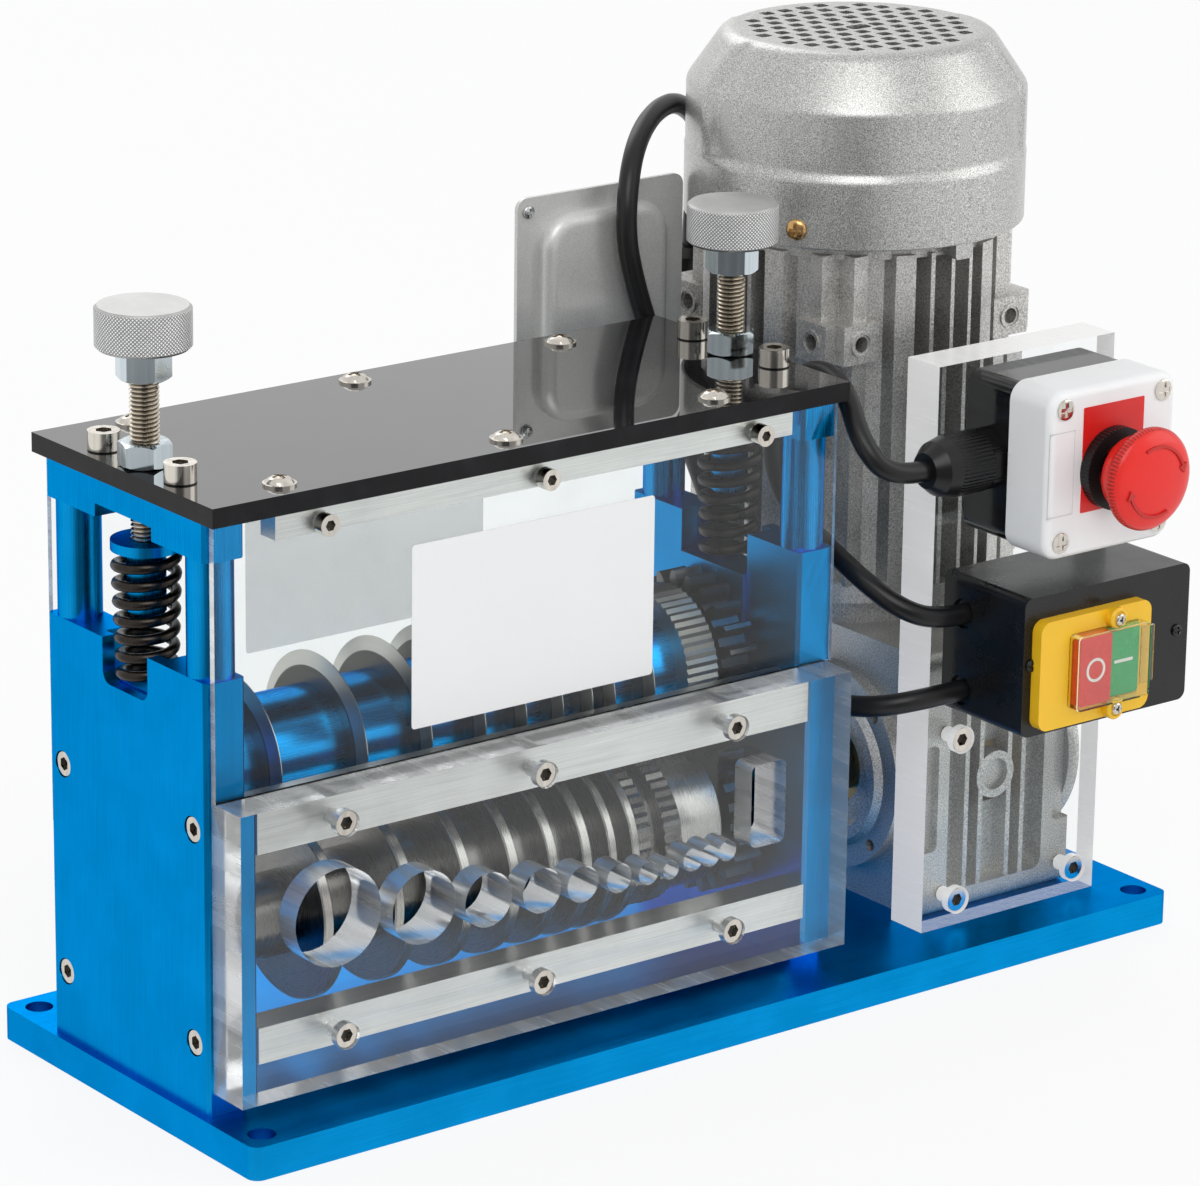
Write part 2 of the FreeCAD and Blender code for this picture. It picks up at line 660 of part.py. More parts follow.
def make_blade_shaft():
    block_in = PLATE_OUTER + SKIN + CLEARANCE + BLOCK_THICK
    right_in = 2 * HEAD_X - block_in
    left_end = block_in - BLOCK_THICK + 0.5
    right_end = 2 * HEAD_X - left_end
    shoulder = block_in + 1
    shaft_profile = [
        (left_end, 0.0),
        (left_end, BLADE_JOURNAL_R),
        (shoulder, BLADE_JOURNAL_R),
        (shoulder, BLADE_SHAFT_R),
        (right_in - 1, BLADE_SHAFT_R),
        (right_in - 1, BLADE_JOURNAL_R),
        (right_end, BLADE_JOURNAL_R),
        (right_end, 0.0),
    ]
    save("blade_shaft", turned(V(0, 0, BLADE_Z), X_AXIS, shaft_profile))
    middles = [x for x, _ in FEED_HOLES] + [FLAT_BLADE_X]
    save("blade_discs", [blade(x) for x in middles])
    spacers = []
    start = shoulder + 1
    for x in middles:
        spacers.append(ring(V(start, 0, BLADE_Z), X_AXIS, SPACER_R, BLADE_SHAFT_R, x - BLADE_HALF - start))
        start = x + BLADE_HALF
    spacers.append(ring(V(start, 0, BLADE_Z), X_AXIS, SPACER_R, BLADE_SHAFT_R, RING_LEFT - start))
    save("blade_spacers", spacers)
    grip = knurled_band(RING_LEFT, RING_LEFT + RING_WIDTH, RING_R, 54, 0.9)
    grip = grip.cut(rod(V(RING_LEFT - 1, 0, 0), X_AXIS, BLADE_SHAFT_R, RING_WIDTH + 2))
    grip.translate(V(0, 0, BLADE_Z))
    save("knurled_ring", grip)


# Sliding bearing blocks and the ball bearings
def bearing(left, z, outer, inner, width):
    """Two races and the shielded ball row between them, as one turned ring."""
    lip = 0.6
    step = (outer - inner) * 0.25
    profile = [
        (0.0, inner),
        (0.0, inner + step),
        (lip, inner + step),
        (lip, outer - step),
        (0.0, outer - step),
        (0.0, outer),
        (width, outer),
        (width, outer - step),
        (width - lip, outer - step),
        (width - lip, inner + step),
        (width, inner + step),
        (width, inner),
    ]
    return turned(V(left, 0, z), X_AXIS, profile)


def make_bearings():
    block_left = PLATE_OUTER + SKIN + CLEARANCE
    block = box(block_left, block_left + BLOCK_THICK, -BLOCK_HALF_Y, BLOCK_HALF_Y, BLOCK_BOTTOM, BLOCK_TOP)
    block = bevelled(block, 1.0, X_AXIS)
    bearing_left = block_left + BLOCK_THICK - BLOCK_BEARING_WIDTH
    block = block.cut(rod(V(bearing_left, 0, BLADE_Z), X_AXIS, BLOCK_BEARING_R, BLOCK_THICK))
    block = block.cut(rod(V(block_left - 1, 0, BLADE_Z), X_AXIS, BLADE_JOURNAL_R + 1, BLOCK_THICK))
    save("bearing_blocks", pair(block))
    inner = BLADE_JOURNAL_R + RUNNING
    save("blade_bearings", pair(bearing(bearing_left, BLADE_Z, BLOCK_BEARING_R, inner, BLOCK_BEARING_WIDTH)))
    roller_bearing = bearing(PLATE_OUTER + SKIN, ROLLER_Z, BEARING_R, SHAFT_R + RUNNING, BEARING_WIDTH)
    save("feed_bearings", pair(roller_bearing))


# Springs: conical coils as one unbroken tube
def spring_point(turn):
    part = turn / SPRING_TURNS
    radius = SPRING_BOTTOM_R + (SPRING_TOP_R - SPRING_BOTTOM_R) * part
    angle = 2 * math.pi * turn
    return V(radius * math.cos(angle), radius * math.sin(angle), spring_height() * part)


def spring_height():
    return CAP_TOP - CAP_FLANGE - BLOCK_TOP - 2 * (WIRE_R + SPRING_END_GAP)


def spring_tangent(turn):
    step = 0.001
    ahead = spring_point(turn + step) - spring_point(turn - step)
    return ahead.normalize()


def arc_between(start, tangent, end):
    """The arc that leaves the start along the tangent and passes through the end."""
    chord = end - start
    half = chord.Length / 2
    cosine = chord.dot(tangent) / chord.Length
    reach = half / cosine
    corner = start + tangent * reach
    middle = (start + end) * 0.5
    top = middle + (corner - middle) * (cosine / (1 + cosine))
    return Part.Arc(start, top, end).toShape()


def biarc(p0, t0, p1, t1):
    chord = p1 - p0
    total = t0 + t1
    a = 2 * (1 - t0.dot(t1))
    b = chord.dot(total)
    reach = (math.sqrt(b * b + a * chord.dot(chord)) - b) / a
    joint = (p0 + t0 * reach + p1 - t1 * reach) * 0.5
    along = (joint - p0 - t0 * reach).normalize()
    return [arc_between(p0, t0, joint), arc_between(joint, along, p1)]


def spring_solid():
    edges = []
    quarters = 4 * SPRING_TURNS
    for i in range(quarters):
        a = i / 4
        b = (i + 1) / 4
        edges += biarc(spring_point(a), spring_tangent(a), spring_point(b), spring_tangent(b))
    path = Part.Wire(edges)
    circle = Part.Circle(spring_point(0), spring_tangent(0), WIRE_R)
    return path.makePipeShell([Part.Wire(circle.toShape())], True, False)


def least_spring_gap():
    points = [spring_point(i / 24) for i in range(24 * SPRING_TURNS + 1)]
    least = 1e9
    for i, a in enumerate(points):
        for b in points[i + 12:]:
            least = min(least, (a - b).Length)
    return least - 2 * WIRE_R


def make_springs():
    spring = spring_solid()
    start = V(ADJUST_X, 0, BLOCK_TOP + WIRE_R + SPRING_END_GAP)
    for name, x in (("left_spring", ADJUST_X), ("right_spring", 2 * HEAD_X - ADJUST_X)):
        coil = spring.copy()
        coil.translate(V(x, 0, start.z))
        save(name, coil)
    print("least gap between spring turns", round(least_spring_gap(), 2))


# Adjusting screws with knobs, lock nuts and spring caps
def make_adjusters():
    boss_depth = CAP_TOP - CAP_BOTTOM
    profile = [
        (0.0, 0.0),
        (0.0, CAP_BOSS_R - 1),
        (1.0, CAP_BOSS_R),
        (boss_depth - CAP_FLANGE, CAP_BOSS_R),
        (boss_depth - CAP_FLANGE, CAP_FLANGE_R),
        (boss_depth, CAP_FLANGE_R),
        (boss_depth, SCREW_R + 2 * RUNNING),
        (SCREW_BOTTOM - CAP_BOTTOM - 0.2, SCREW_R + 2 * RUNNING),
        (SCREW_BOTTOM - CAP_BOTTOM - 0.2, 0.0),
    ]
    cap = turned(V(ADJUST_X, 0, CAP_BOTTOM), Z_AXIS, profile)
    screw = rod(V(ADJUST_X, 0, SCREW_BOTTOM), Z_AXIS, SCREW_R, SCREW_TOP - SCREW_BOTTOM)
    knob_nut = nut(V(ADJUST_X, 0, KNOB_NUT_BOTTOM), KNOB_NUT_HEIGHT, SCREW_R + RUNNING)
    lock_nut = nut(V(ADJUST_X, 0, BRIDGE_TOP + COVER_THICK), LOCK_NUT_HEIGHT, SCREW_R + CLEARANCE)
    knob_profile = [
        (0.0, SCREW_R + RUNNING),
        (0.0, KNOB_R - 1.2),
        (1.2, KNOB_R),
        (KNOB_HEIGHT - 1.2, KNOB_R),
        (KNOB_HEIGHT, KNOB_R - 1.2),
        (KNOB_HEIGHT, 0.0),
        (SCREW_TOP - KNOB_BOTTOM, 0.0),
        (SCREW_TOP - KNOB_BOTTOM, SCREW_R + RUNNING),
    ]
    knob = turned(V(ADJUST_X, 0, KNOB_BOTTOM), Z_AXIS, knob_profile)
    for side, place in (("left", 0), ("right", 1)):
        save(side + "_spring_cap", pair(cap)[place])
        save(side + "_adjusting_screw", [pair(screw)[place], pair(knob_nut)[place]])
        save(side + "_knob", pair(knob)[place])
        save(side + "_lock_nut", pair(lock_nut)[place])


def nut(seat, height, bore_r):
    blank = hex_prism(seat, Z_AXIS, NUT_AF, height)
    crown = NUT_AF / math.sqrt(3.0)
    rise = 1.4
    limit = turned(seat, Z_AXIS, [
        (0.0, 0.0),
        (0.0, NUT_AF / 2 - 0.2),
        (rise, crown + 0.4),
        (height - rise, crown + 0.4),
        (height, NUT_AF / 2 - 0.2),
        (height, 0.0),
    ])
    return blank.common(limit).cut(rod(seat, Z_AXIS, bore_r, height))


# Worm gearbox
def make_gearbox():
    left = DRIVE_X - BOX_HALF_X
    right = DRIVE_X + BOX_HALF_X
    front = rounded(box(left, right, BOX_FRONT, 26, BASE_THICK, BOX_TOP), 6.0, X_AXIS)
    back = box(DRIVE_X - 32, DRIVE_X + 32, 20, WORM_Y, BASE_THICK, BOX_TOP)
    tunnel = rod(V(DRIVE_X, WORM_Y, BASE_THICK), Z_AXIS, 32.0, BOX_TOP - BASE_THICK)
    body = joined([front, back, tunnel])
    body = body.cut(rounded(box(DRIVE_X - 27, DRIVE_X + 27, BOX_FRONT - 1, BOX_FRONT + 9, 24, 124), 5.0, Y_AXIS))
    ribs = [box(DRIVE_X + x - 1.2, DRIVE_X + x + 1.2, BOX_FRONT + 1, BOX_FRONT + 10, 23, 125) for x in (-16, -8, 8, 16)]
    plug = rod(V(DRIVE_X, BOX_FRONT + 1, 72), Y_AXIS, 10.5, 9)
    body = joined([body, plug] + ribs)
    body = body.cut(rod(V(DRIVE_X, BOX_FRONT, 72), Y_AXIS, 7.0, 4))
    for side in (-1, 1):
        pocket = box(DRIVE_X + 33, DRIVE_X + 43, BOX_FRONT - 1, BOX_FRONT + 4, 44, 92)
        pocket = rounded(pocket, 3.0, Y_AXIS)
        body = body.cut(pocket if side > 0 else pocket.mirror(V(DRIVE_X, 0, 0), X_AXIS))
    for x, z in CONTROL_SCREWS:
        body = body.cut(rod(V(x, BOX_FRONT - 1, z), Y_AXIS, 3.0 + RUNNING, 12))
    wheel_room = rod(V(DRIVE_X - WHEEL_HALF - 3, 0, ROLLER_Z), X_AXIS, WHEEL_R + 1.5, 2 * WHEEL_HALF + 6)
    hub_way = rod(V(left - 1, 0, ROLLER_Z), X_AXIS, HOLLOW_SHAFT_R + CLEARANCE, 2 * BOX_HALF_X + 2)
    side_recess = rod(V(left - 1, 0, ROLLER_Z), X_AXIS, 35.0, 5)
    worm_way = rod(V(DRIVE_X, WORM_Y, BASE_THICK + 5), Z_AXIS, WORM_R + 2, BOX_TOP)
    body = body.cut(wheel_room).cut(hub_way).cut(worm_way)
    body = body.cut(side_recess).cut(side_recess.mirror(V(DRIVE_X, 0, 0), X_AXIS))
    save("gearbox_housing", body)
    cover_profile = [
        (-4.0, 35.0),
        (-4.0, HOLLOW_SHAFT_R + 0.6),
        (3.0, HOLLOW_SHAFT_R + 0.6),
        (3.0, 26.0),
        (9.0, 29.0),
        (9.0, 34.0),
        (6.0, 36.5),
        (6.0, 45.5),
        (0.0, 45.5),
        (0.0, 35.0),
    ]
    cover = turned(V(left, 0, ROLLER_Z), X_AXIS * -1, cover_profile)
    for i in range(4):
        angle = math.radians(45 + 90 * i)
        at = V(left - 7, 41.0 * math.cos(angle), ROLLER_Z + 41.0 * math.sin(angle))
        cover = cover.cut(rod(at, X_AXIS, 2.7, 8))
    save("gearbox_covers", [cover, cover.mirror(V(DRIVE_X, 0, 0), X_AXIS)])
    wheel = turned(V(DRIVE_X, 0, ROLLER_Z), X_AXIS, [
        (-BOX_HALF_X + 1, SHAFT_R),
        (-BOX_HALF_X + 1, HOLLOW_SHAFT_R),
        (-WHEEL_HALF, HOLLOW_SHAFT_R),
        (-WHEEL_HALF, WHEEL_R - 2),
        (-8.0, WHEEL_R),
        (8.0, WHEEL_R),
        (WHEEL_HALF, WHEEL_R - 2),
        (WHEEL_HALF, HOLLOW_SHAFT_R),
        (BOX_HALF_X - 1, HOLLOW_SHAFT_R),
        (BOX_HALF_X - 1, SHAFT_R),
    ])
    save("worm_wheel", wheel)
    worm = turned(V(DRIVE_X, WORM_Y, 0), Z_AXIS, [
        (24.0, MOTOR_SHAFT_R),
        (24.0, WORM_SHAFT_R),
        (ROLLER_Z - 24, WORM_SHAFT_R),
        (ROLLER_Z - 22, WORM_R),
        (ROLLER_Z + 22, WORM_R),
        (ROLLER_Z + 24, WORM_SHAFT_R),
        (BOX_TOP - 2, WORM_SHAFT_R),
        (BOX_TOP - 2, MOTOR_SHAFT_R),
    ])
    save("worm", worm)
    flange = rod(V(DRIVE_X, WORM_Y, BOX_TOP), Z_AXIS, FLANGE_R, MOTOR_BOTTOM - BOX_TOP)
    flange = flange.cut(rod(V(DRIVE_X, WORM_Y, BOX_TOP - 1), Z_AXIS, WORM_R + 2, 20))
    for i in range(4):
        angle = math.radians(45 + 90 * i)
        at = V(DRIVE_X + 50 * math.cos(angle), WORM_Y + 50 * math.sin(angle), BOX_TOP - 1)
        flange = flange.cut(rod(at, Z_AXIS, 3.3, 5))
    save("input_flange", flange)


# Motor: finned housing with mounting lugs on its corners
def motor_fins():
    """Thin fins on each face, with a wide one at either side of every corner."""
    reach = 2 * MOTOR_FIN_R
    wide_low, wide_high = WIDE_FIN
    spans = [(-wide_high, -wide_low), (wide_low, wide_high)]
    for i in (-1, 0, 1):
        spans.append((i * FIN_PITCH - FIN_THICK / 2, i * FIN_PITCH + FIN_THICK / 2))
    fins = []
    for low, high in spans:
        fins.append(box(low, high, -reach, reach, MOTOR_BOTTOM + 6, MOTOR_TOP - 4))
        fins.append(box(-reach, reach, low, high, MOTOR_BOTTOM + 6, MOTOR_TOP - 4))
    return fins


def motor_corners():
    """The housing between the wide fins, which is thicker than between the thin ones."""
    reach = 2 * MOTOR_FIN_R
    low = MOTOR_BOTTOM + 6
    high = MOTOR_TOP - 4
    corners = rod(V(0, 0, low), Z_AXIS, MOTOR_CORNER_R, high - low)
    corners = corners.cut(box(-WIDE_FIN[0], WIDE_FIN[0], -reach, reach, low, high))
    return corners.cut(box(-reach, reach, -WIDE_FIN[0], WIDE_FIN[0], low, high))


def motor_lug(face_turn, side):
    """One mounting pad beside a corner; its face looks along -Y before it is turned."""
    hole = V(LUG_HOLE, -LUG_PLANE, LUG_Z + LUG_HEIGHT / 2)
    lug = box(LUG_HOLE - LUG_HALF, LUG_HOLE + LUG_HALF, -LUG_PLANE, LUG_DEPTH - LUG_PLANE,
              LUG_Z, LUG_Z + LUG_HEIGHT)
    ridge = box(LUG_HOLE - LUG_RIDGE - 2, LUG_HOLE + LUG_RIDGE - 2, LUG_RIDGE - LUG_PLANE,
                LUG_DEPTH - LUG_PLANE, MOTOR_BOTTOM + 8, MOTOR_TOP - 4)
    lug = lug.fuse(ridge).fuse(ring(hole, Y_AXIS * -1, LUG_RING_R, LUG_RING_R - 1.2, 0.6))
    lug = lug.cut(rod(hole, Y_AXIS, 3.4, 12))
    if side < 0:
        lug = lug.mirror(V(0, 0, 0), X_AXIS)
    lug.rotate(V(0, 0, 0), Z_AXIS, face_turn)
    return lug


def make_motor():
    core = rod(V(0, 0, MOTOR_BOTTOM), Z_AXIS, MOTOR_CORE_R, MOTOR_TOP - MOTOR_BOTTOM)
    limit = rod(V(0, 0, MOTOR_BOTTOM), Z_AXIS, MOTOR_FIN_R, MOTOR_TOP - MOTOR_BOTTOM)
    fins = limit.common(Part.makeCompound(motor_fins()))
    foot = rod(V(0, 0, MOTOR_BOTTOM), Z_AXIS, MOTOR_FIN_R, 9)
    crown = rod(V(0, 0, MOTOR_TOP - 6), Z_AXIS, MOTOR_FIN_R - 3, 6)
    lugs = [motor_lug(90 * i, side) for i in range(4) for side in (-1, 1)]
    body = core.fuse([fins, motor_corners(), foot, crown] + lugs)
    body = body.cut(rod(V(0, 0, MOTOR_BOTTOM - 1), Z_AXIS, MOTOR_SHAFT_R + CLEARANCE, MOTOR_TOP))
    body = body.cut(rod(V(0, 0, 165), Z_AXIS, ROTOR_R + 0.4, MOTOR_TOP - 164))
    body.translate(V(DRIVE_X, WORM_Y, 0))
    save("motor_housing", body.removeSplitter())
    shield = turned(V(DRIVE_X, WORM_Y, MOTOR_TOP), Z_AXIS, [
        (0.0, MOTOR_SHAFT_R + CLEARANCE),
        (0.0, MOTOR_FIN_R - 3),
        (4.0, MOTOR_FIN_R - 3),
        (6.0, 24.0),
        (9.5, 20.0),
        (9.5, MOTOR_SHAFT_R + CLEARANCE),
    ])
    sheet_inside = ring(V(DRIVE_X, WORM_Y, MOTOR_TOP), Z_AXIS, FAN_COVER_R - FAN_COVER_SHEET, 40.0, 12)
    for i in range(4):
        arm = box(40, FAN_COVER_R, -7, 7, MOTOR_TOP, MOTOR_TOP + 10)
        arm.rotate(V(0, 0, 0), Z_AXIS, COVER_SCREW_TURN + 90 * i)
        arm.translate(V(DRIVE_X, WORM_Y, 0))
        shield = shield.fuse(arm.common(sheet_inside))
    save("motor_end_shield", shield)
    rotor = turned(V(DRIVE_X, WORM_Y, 0), Z_AXIS, [
        (26.0, 0.0),
        (26.0, MOTOR_SHAFT_R),
        (172.0, MOTOR_SHAFT_R),
        (172.0, ROTOR_R),
        (272.0, ROTOR_R),
        (272.0, MOTOR_SHAFT_R),
        (344.0, MOTOR_SHAFT_R),
        (344.0, 0.0),
    ])
    save("rotor_shaft", rotor)
    hub = ring(V(0, 0, 315), Z_AXIS, 14.0, MOTOR_SHAFT_R, 24)
    disc = ring(V(0, 0, 315), Z_AXIS, FAN_R - 6, MOTOR_SHAFT_R, 2.5)
    parts = [hub, disc]
    for i in range(FAN_BLADES):
        vane = box(12, FAN_R, -1.2, 1.2, 316, 337)
        vane.rotate(V(0, 0, 0), Z_AXIS, 360.0 * i / FAN_BLADES)
        parts.append(vane)
    fan = joined(parts)
    fan.translate(V(DRIVE_X, WORM_Y, 0))
    save("cooling_fan", fan)


# Fan cover: pressed sheet with two bands, a coned shoulder and a pierced top
def grille_holes():
    holes = []
    row_step = GRILLE_PITCH * math.sqrt(3.0) / 2
    rows = int(GRILLE_R / row_step)
    half = GRILLE_HOLE / 2
    for row in range(-rows, rows + 1):
        y = row * row_step
        shift = 0.5 * GRILLE_PITCH if row % 2 else 0.0
        for column in range(-6, 7):
            x = column * GRILLE_PITCH + shift
            if 0.5 * GRILLE_PITCH < math.hypot(x, y) < GRILLE_R:
                holes.append(box(x - half, x + half, y - half, y + half, FAN_COVER_TOP - 4, FAN_COVER_TOP + 1))
    holes.append(box(-5.5, 5.5, -3.5, 3.5, FAN_COVER_TOP - 4, FAN_COVER_TOP + 1))
    return holes


def fan_cover_outside(rise):
    """The cover's outside as a turned solid, its band and cone raised by the rise."""
    return turned(V(0, 0, 0), Z_AXIS, [
        (MOTOR_TOP, 0.0),
        (MOTOR_TOP, FAN_COVER_R),
        (FAN_BAND_LOW[0], FAN_COVER_R),
        (FAN_BAND_LOW[1], FAN_BAND_R + rise),
        (FAN_CONE_LOW, FAN_BAND_R + rise),
        (FAN_COVER_TOP - 1.5, FAN_COVER_TOP_R + rise),
        (FAN_COVER_TOP, FAN_COVER_TOP_R + rise - 2.5),
        (FAN_COVER_TOP, 0.0),
    ])


def make_fan_cover():
    sheet = FAN_COVER_SHEET
    cover = fan_cover_outside(0.0)
    raised = fan_cover_outside(FAN_PAD_RISE)
    for turn in FAN_PAD_TURNS:
        side = box(30, 90, -FAN_PAD_HALF, FAN_PAD_HALF, FAN_BAND_LOW[0], FAN_COVER_TOP + 1)
        side.rotate(V(0, 0, 0), Z_AXIS, turn)
        cover = cover.fuse(raised.common(side))
    inside = turned(V(0, 0, 0), Z_AXIS, [
        (MOTOR_TOP - 1, 0.0),
        (MOTOR_TOP - 1, FAN_COVER_R - sheet),
        (FAN_BAND_LOW[0], FAN_COVER_R - sheet),
        (FAN_BAND_LOW[1], FAN_BAND_R - sheet),
        (FAN_CONE_LOW - sheet / 2, FAN_BAND_R - sheet),
        (FAN_COVER_TOP - sheet, FAN_COVER_TOP_R - 3),
        (FAN_COVER_TOP - sheet, 0.0),
    ])
    cover = cover.cut(inside)
    width, drop = FAN_TAB
    for i in range(4):
        tab = box(MOTOR_FIN_R + 0.5, FAN_COVER_R - 0.5, -width / 2, width / 2, MOTOR_TOP - drop, MOTOR_TOP + 4)
        tab.rotate(V(0, 0, 0), Z_AXIS, 90 * i)
        cover = cover.fuse(tab)
    cover = cover.cut(Part.makeCompound(grille_holes()))
    cover.translate(V(DRIVE_X, WORM_Y, 0))
    save("fan_cover", cover)


# Terminal box, narrower at its back, with its pressed lid and the neck to the motor
def terminal_body(inset, low, high):
    front = TERMINAL_FRONT + LID_DEPTH
    corners = [
        (TERMINAL_LEFT + 2 + inset, front),
        (TERMINAL_RIGHT - 2 - inset, front),
        (TERMINAL_RIGHT - 2 - inset, TERMINAL_BACK - inset),
        (TERMINAL_LEFT + 32 + inset, TERMINAL_BACK - inset),
    ]
    return prism(V(0, 0, low), Z_AXIS, corners, high - low)


def make_terminal_box():
    low = TERMINAL_BOTTOM + 4
    high = TERMINAL_TOP - 14
    shell = terminal_body(0.0, low, high)
    neck = box(*NECK_X, *NECK_Y, *NECK_Z)
    motor_room = rod(V(DRIVE_X, WORM_Y, 200), Z_AXIS, MOTOR_FIN_R - 0.5, 120)
    shell = shell.fuse(neck.cut(motor_room))
    shell = shell.cut(terminal_body(TERMINAL_WALL, low + TERMINAL_WALL, high - TERMINAL_WALL))
    save("terminal_box", shell)
    back = TERMINAL_FRONT + LID_DEPTH
    flange = box(TERMINAL_LEFT, TERMINAL_RIGHT, back - LID_RIM, back, TERMINAL_BOTTOM, TERMINAL_TOP)
    flange = rounded(flange, 5.0, Y_AXIS)
    raised = box(TERMINAL_LEFT + 11, TERMINAL_RIGHT - 11, TERMINAL_FRONT, back - LID_RIM + 1,
                 TERMINAL_BOTTOM + 8, TERMINAL_TOP - 8)
    raised = rounded(raised, 16.0, Y_AXIS)
    front_edges = edges_where(raised, lambda e: abs(e.CenterOfMass.y - TERMINAL_FRONT) < 0.01)
    raised = raised.makeFillet(5.5, front_edges)
    save("terminal_lid", flange.fuse(raised).removeSplitter())


# Cable glands
def gland(seat, outward, length):
    nut_part = hex_prism(seat, outward, 24.0, length * 0.2)
    cap = turned(seat + outward * (length * 0.2), outward, [
        (0.0, 0.0),
        (0.0, 13.2),
        (length * 0.45, 13.2),
        (length * 0.65, 11.5),
        (length * 0.8, 7.5),
        (length * 0.8, 0.0),
    ])
    return nut_part.fuse(cap)


# Control plate with the boxes it carries
def make_control_plate():
    back = CONTROL_FRONT + CONTROL_THICK
    plate = box(CONTROL_LEFT, CONTROL_RIGHT, CONTROL_FRONT, back, BASE_THICK, CONTROL_TOP)
    for x, z in CONTROL_SCREWS:
        plate = plate.cut(rod(V(x, CONTROL_FRONT - 1, z), Y_AXIS, 6.0, 8))
        plate = plate.cut(rod(V(x, CONTROL_FRONT - 1, z), Y_AXIS, 3.3, 30))
    save("control_plate", plate)


def make_estop():
    back = CONTROL_FRONT
    step = back - ESTOP_BASE_DEPTH
    front = step - ESTOP_COVER_DEPTH
    base = box(ESTOP_X - ESTOP_HALF_X + 1.5, ESTOP_X + ESTOP_HALF_X - 1.5, step, back,
               ESTOP_Z - ESTOP_HALF_Z + 1.5, ESTOP_Z + ESTOP_HALF_Z - 1.5)
    base = rounded(base, 6.0, Y_AXIS)
    hollow = box(ESTOP_X - ESTOP_HALF_X + 4, ESTOP_X + ESTOP_HALF_X - 4, step - 1, back - 3,
                 ESTOP_Z - ESTOP_HALF_Z + 4, ESTOP_Z + ESTOP_HALF_Z - 4)
    save("estop_base", base.cut(hollow))
    cover = box(ESTOP_X - ESTOP_HALF_X, ESTOP_X + ESTOP_HALF_X, front, step,
                ESTOP_Z - ESTOP_HALF_Z, ESTOP_Z + ESTOP_HALF_Z)
    cover = rounded(cover, 8.0, Y_AXIS)
    rim = edges_where(cover, lambda e: abs(e.CenterOfMass.y - front) < 0.01)
    cover = cover.makeFillet(3.5, rim)
    inside = box(ESTOP_X - ESTOP_HALF_X + 3, ESTOP_X + ESTOP_HALF_X - 3, front + 4, step + 1,
                 ESTOP_Z - ESTOP_HALF_Z + 3, ESTOP_Z + ESTOP_HALF_Z - 3)
    cover = cover.cut(inside).cut(rod(V(ESTOP_X, front - 1, ESTOP_Z), Y_AXIS, 11.3, 10))
    screws = []
    for side_x in (-1, 1):
        for side_z in (-1, 1):
            at = V(ESTOP_X + side_x * ESTOP_SCREW_X, front, ESTOP_Z + side_z * ESTOP_SCREW_Z)
            cover = cover.cut(rod(at - Y_AXIS, Y_AXIS, 3.6, 3.2))
            screws.append(pan_screw(at + Y_AXIS * 2.2, Y_AXIS, 1.5, 8.0, 3.3, 1.8))
            cover = cover.cut(rod(at, Y_AXIS, 1.5 + RUNNING, 12))
    save("estop_cover", cover)
    for z in (SWITCH_Z + SWITCH_BOSS_RISE, SWITCH_Z - SWITCH_BOSS_RISE):
        at = V(SWITCH_BOSS_X, CONTROL_FRONT - BOX_DEPTH - SWITCH_THICK - 4, z)
        screws.append(pan_screw(at, Y_AXIS, 1.5, 8.0, 2.6, 1.6))
    collar = ring(V(ESTOP_X, front, ESTOP_Z), Y_AXIS * -1, 17.5, 11.3, 5.0)
    sleeve = ring(V(ESTOP_X, front, ESTOP_Z), Y_AXIS, 11.2, 8.3, 16)
    save("estop_collar", collar.fuse(sleeve.cut(rod(V(ESTOP_X, front + 8, ESTOP_Z), Y_AXIS, 8.3, 9))))
    save("estop_stem", rod(V(ESTOP_X, front + 12, ESTOP_Z), Y_AXIS * -1, 7.0, 30))
    neck = 5.0 + ESTOP_TRAVEL + 0.5
    head = turned(V(ESTOP_X, front, ESTOP_Z), Y_AXIS * -1, [
        (neck, 7.0),
        (neck, 16.6),
        (18.0, 17.0),
        (19.5, 18.5),
        (20.0, MUSHROOM_R - 0.6),
        (22.0, MUSHROOM_R),
        (25.5, MUSHROOM_R - 1.0),
        (27.3, MUSHROOM_R - 5.0),
        (28.2, MUSHROOM_R - 12.0),
        (28.5, 0.0),
        (18.0, 0.0),
        (18.0, 7.0),
    ])
    save("estop_mushroom", head)
    gland_seat = V(ESTOP_X - ESTOP_HALF_X + 1.5, CONTROL_FRONT - 14.0, ESTOP_Z)
    motor_gland_seat = V(MOTOR_LEAD[0][0], MOTOR_LEAD[0][1], NECK_Z[1])
    save("cable_glands", [
        gland(gland_seat, X_AXIS * -1, gland_seat.x - ESTOP_LEAD[0][0]),
        gland(motor_gland_seat, Z_AXIS, MOTOR_LEAD[0][2] - NECK_Z[1]),
    ])
    return screws


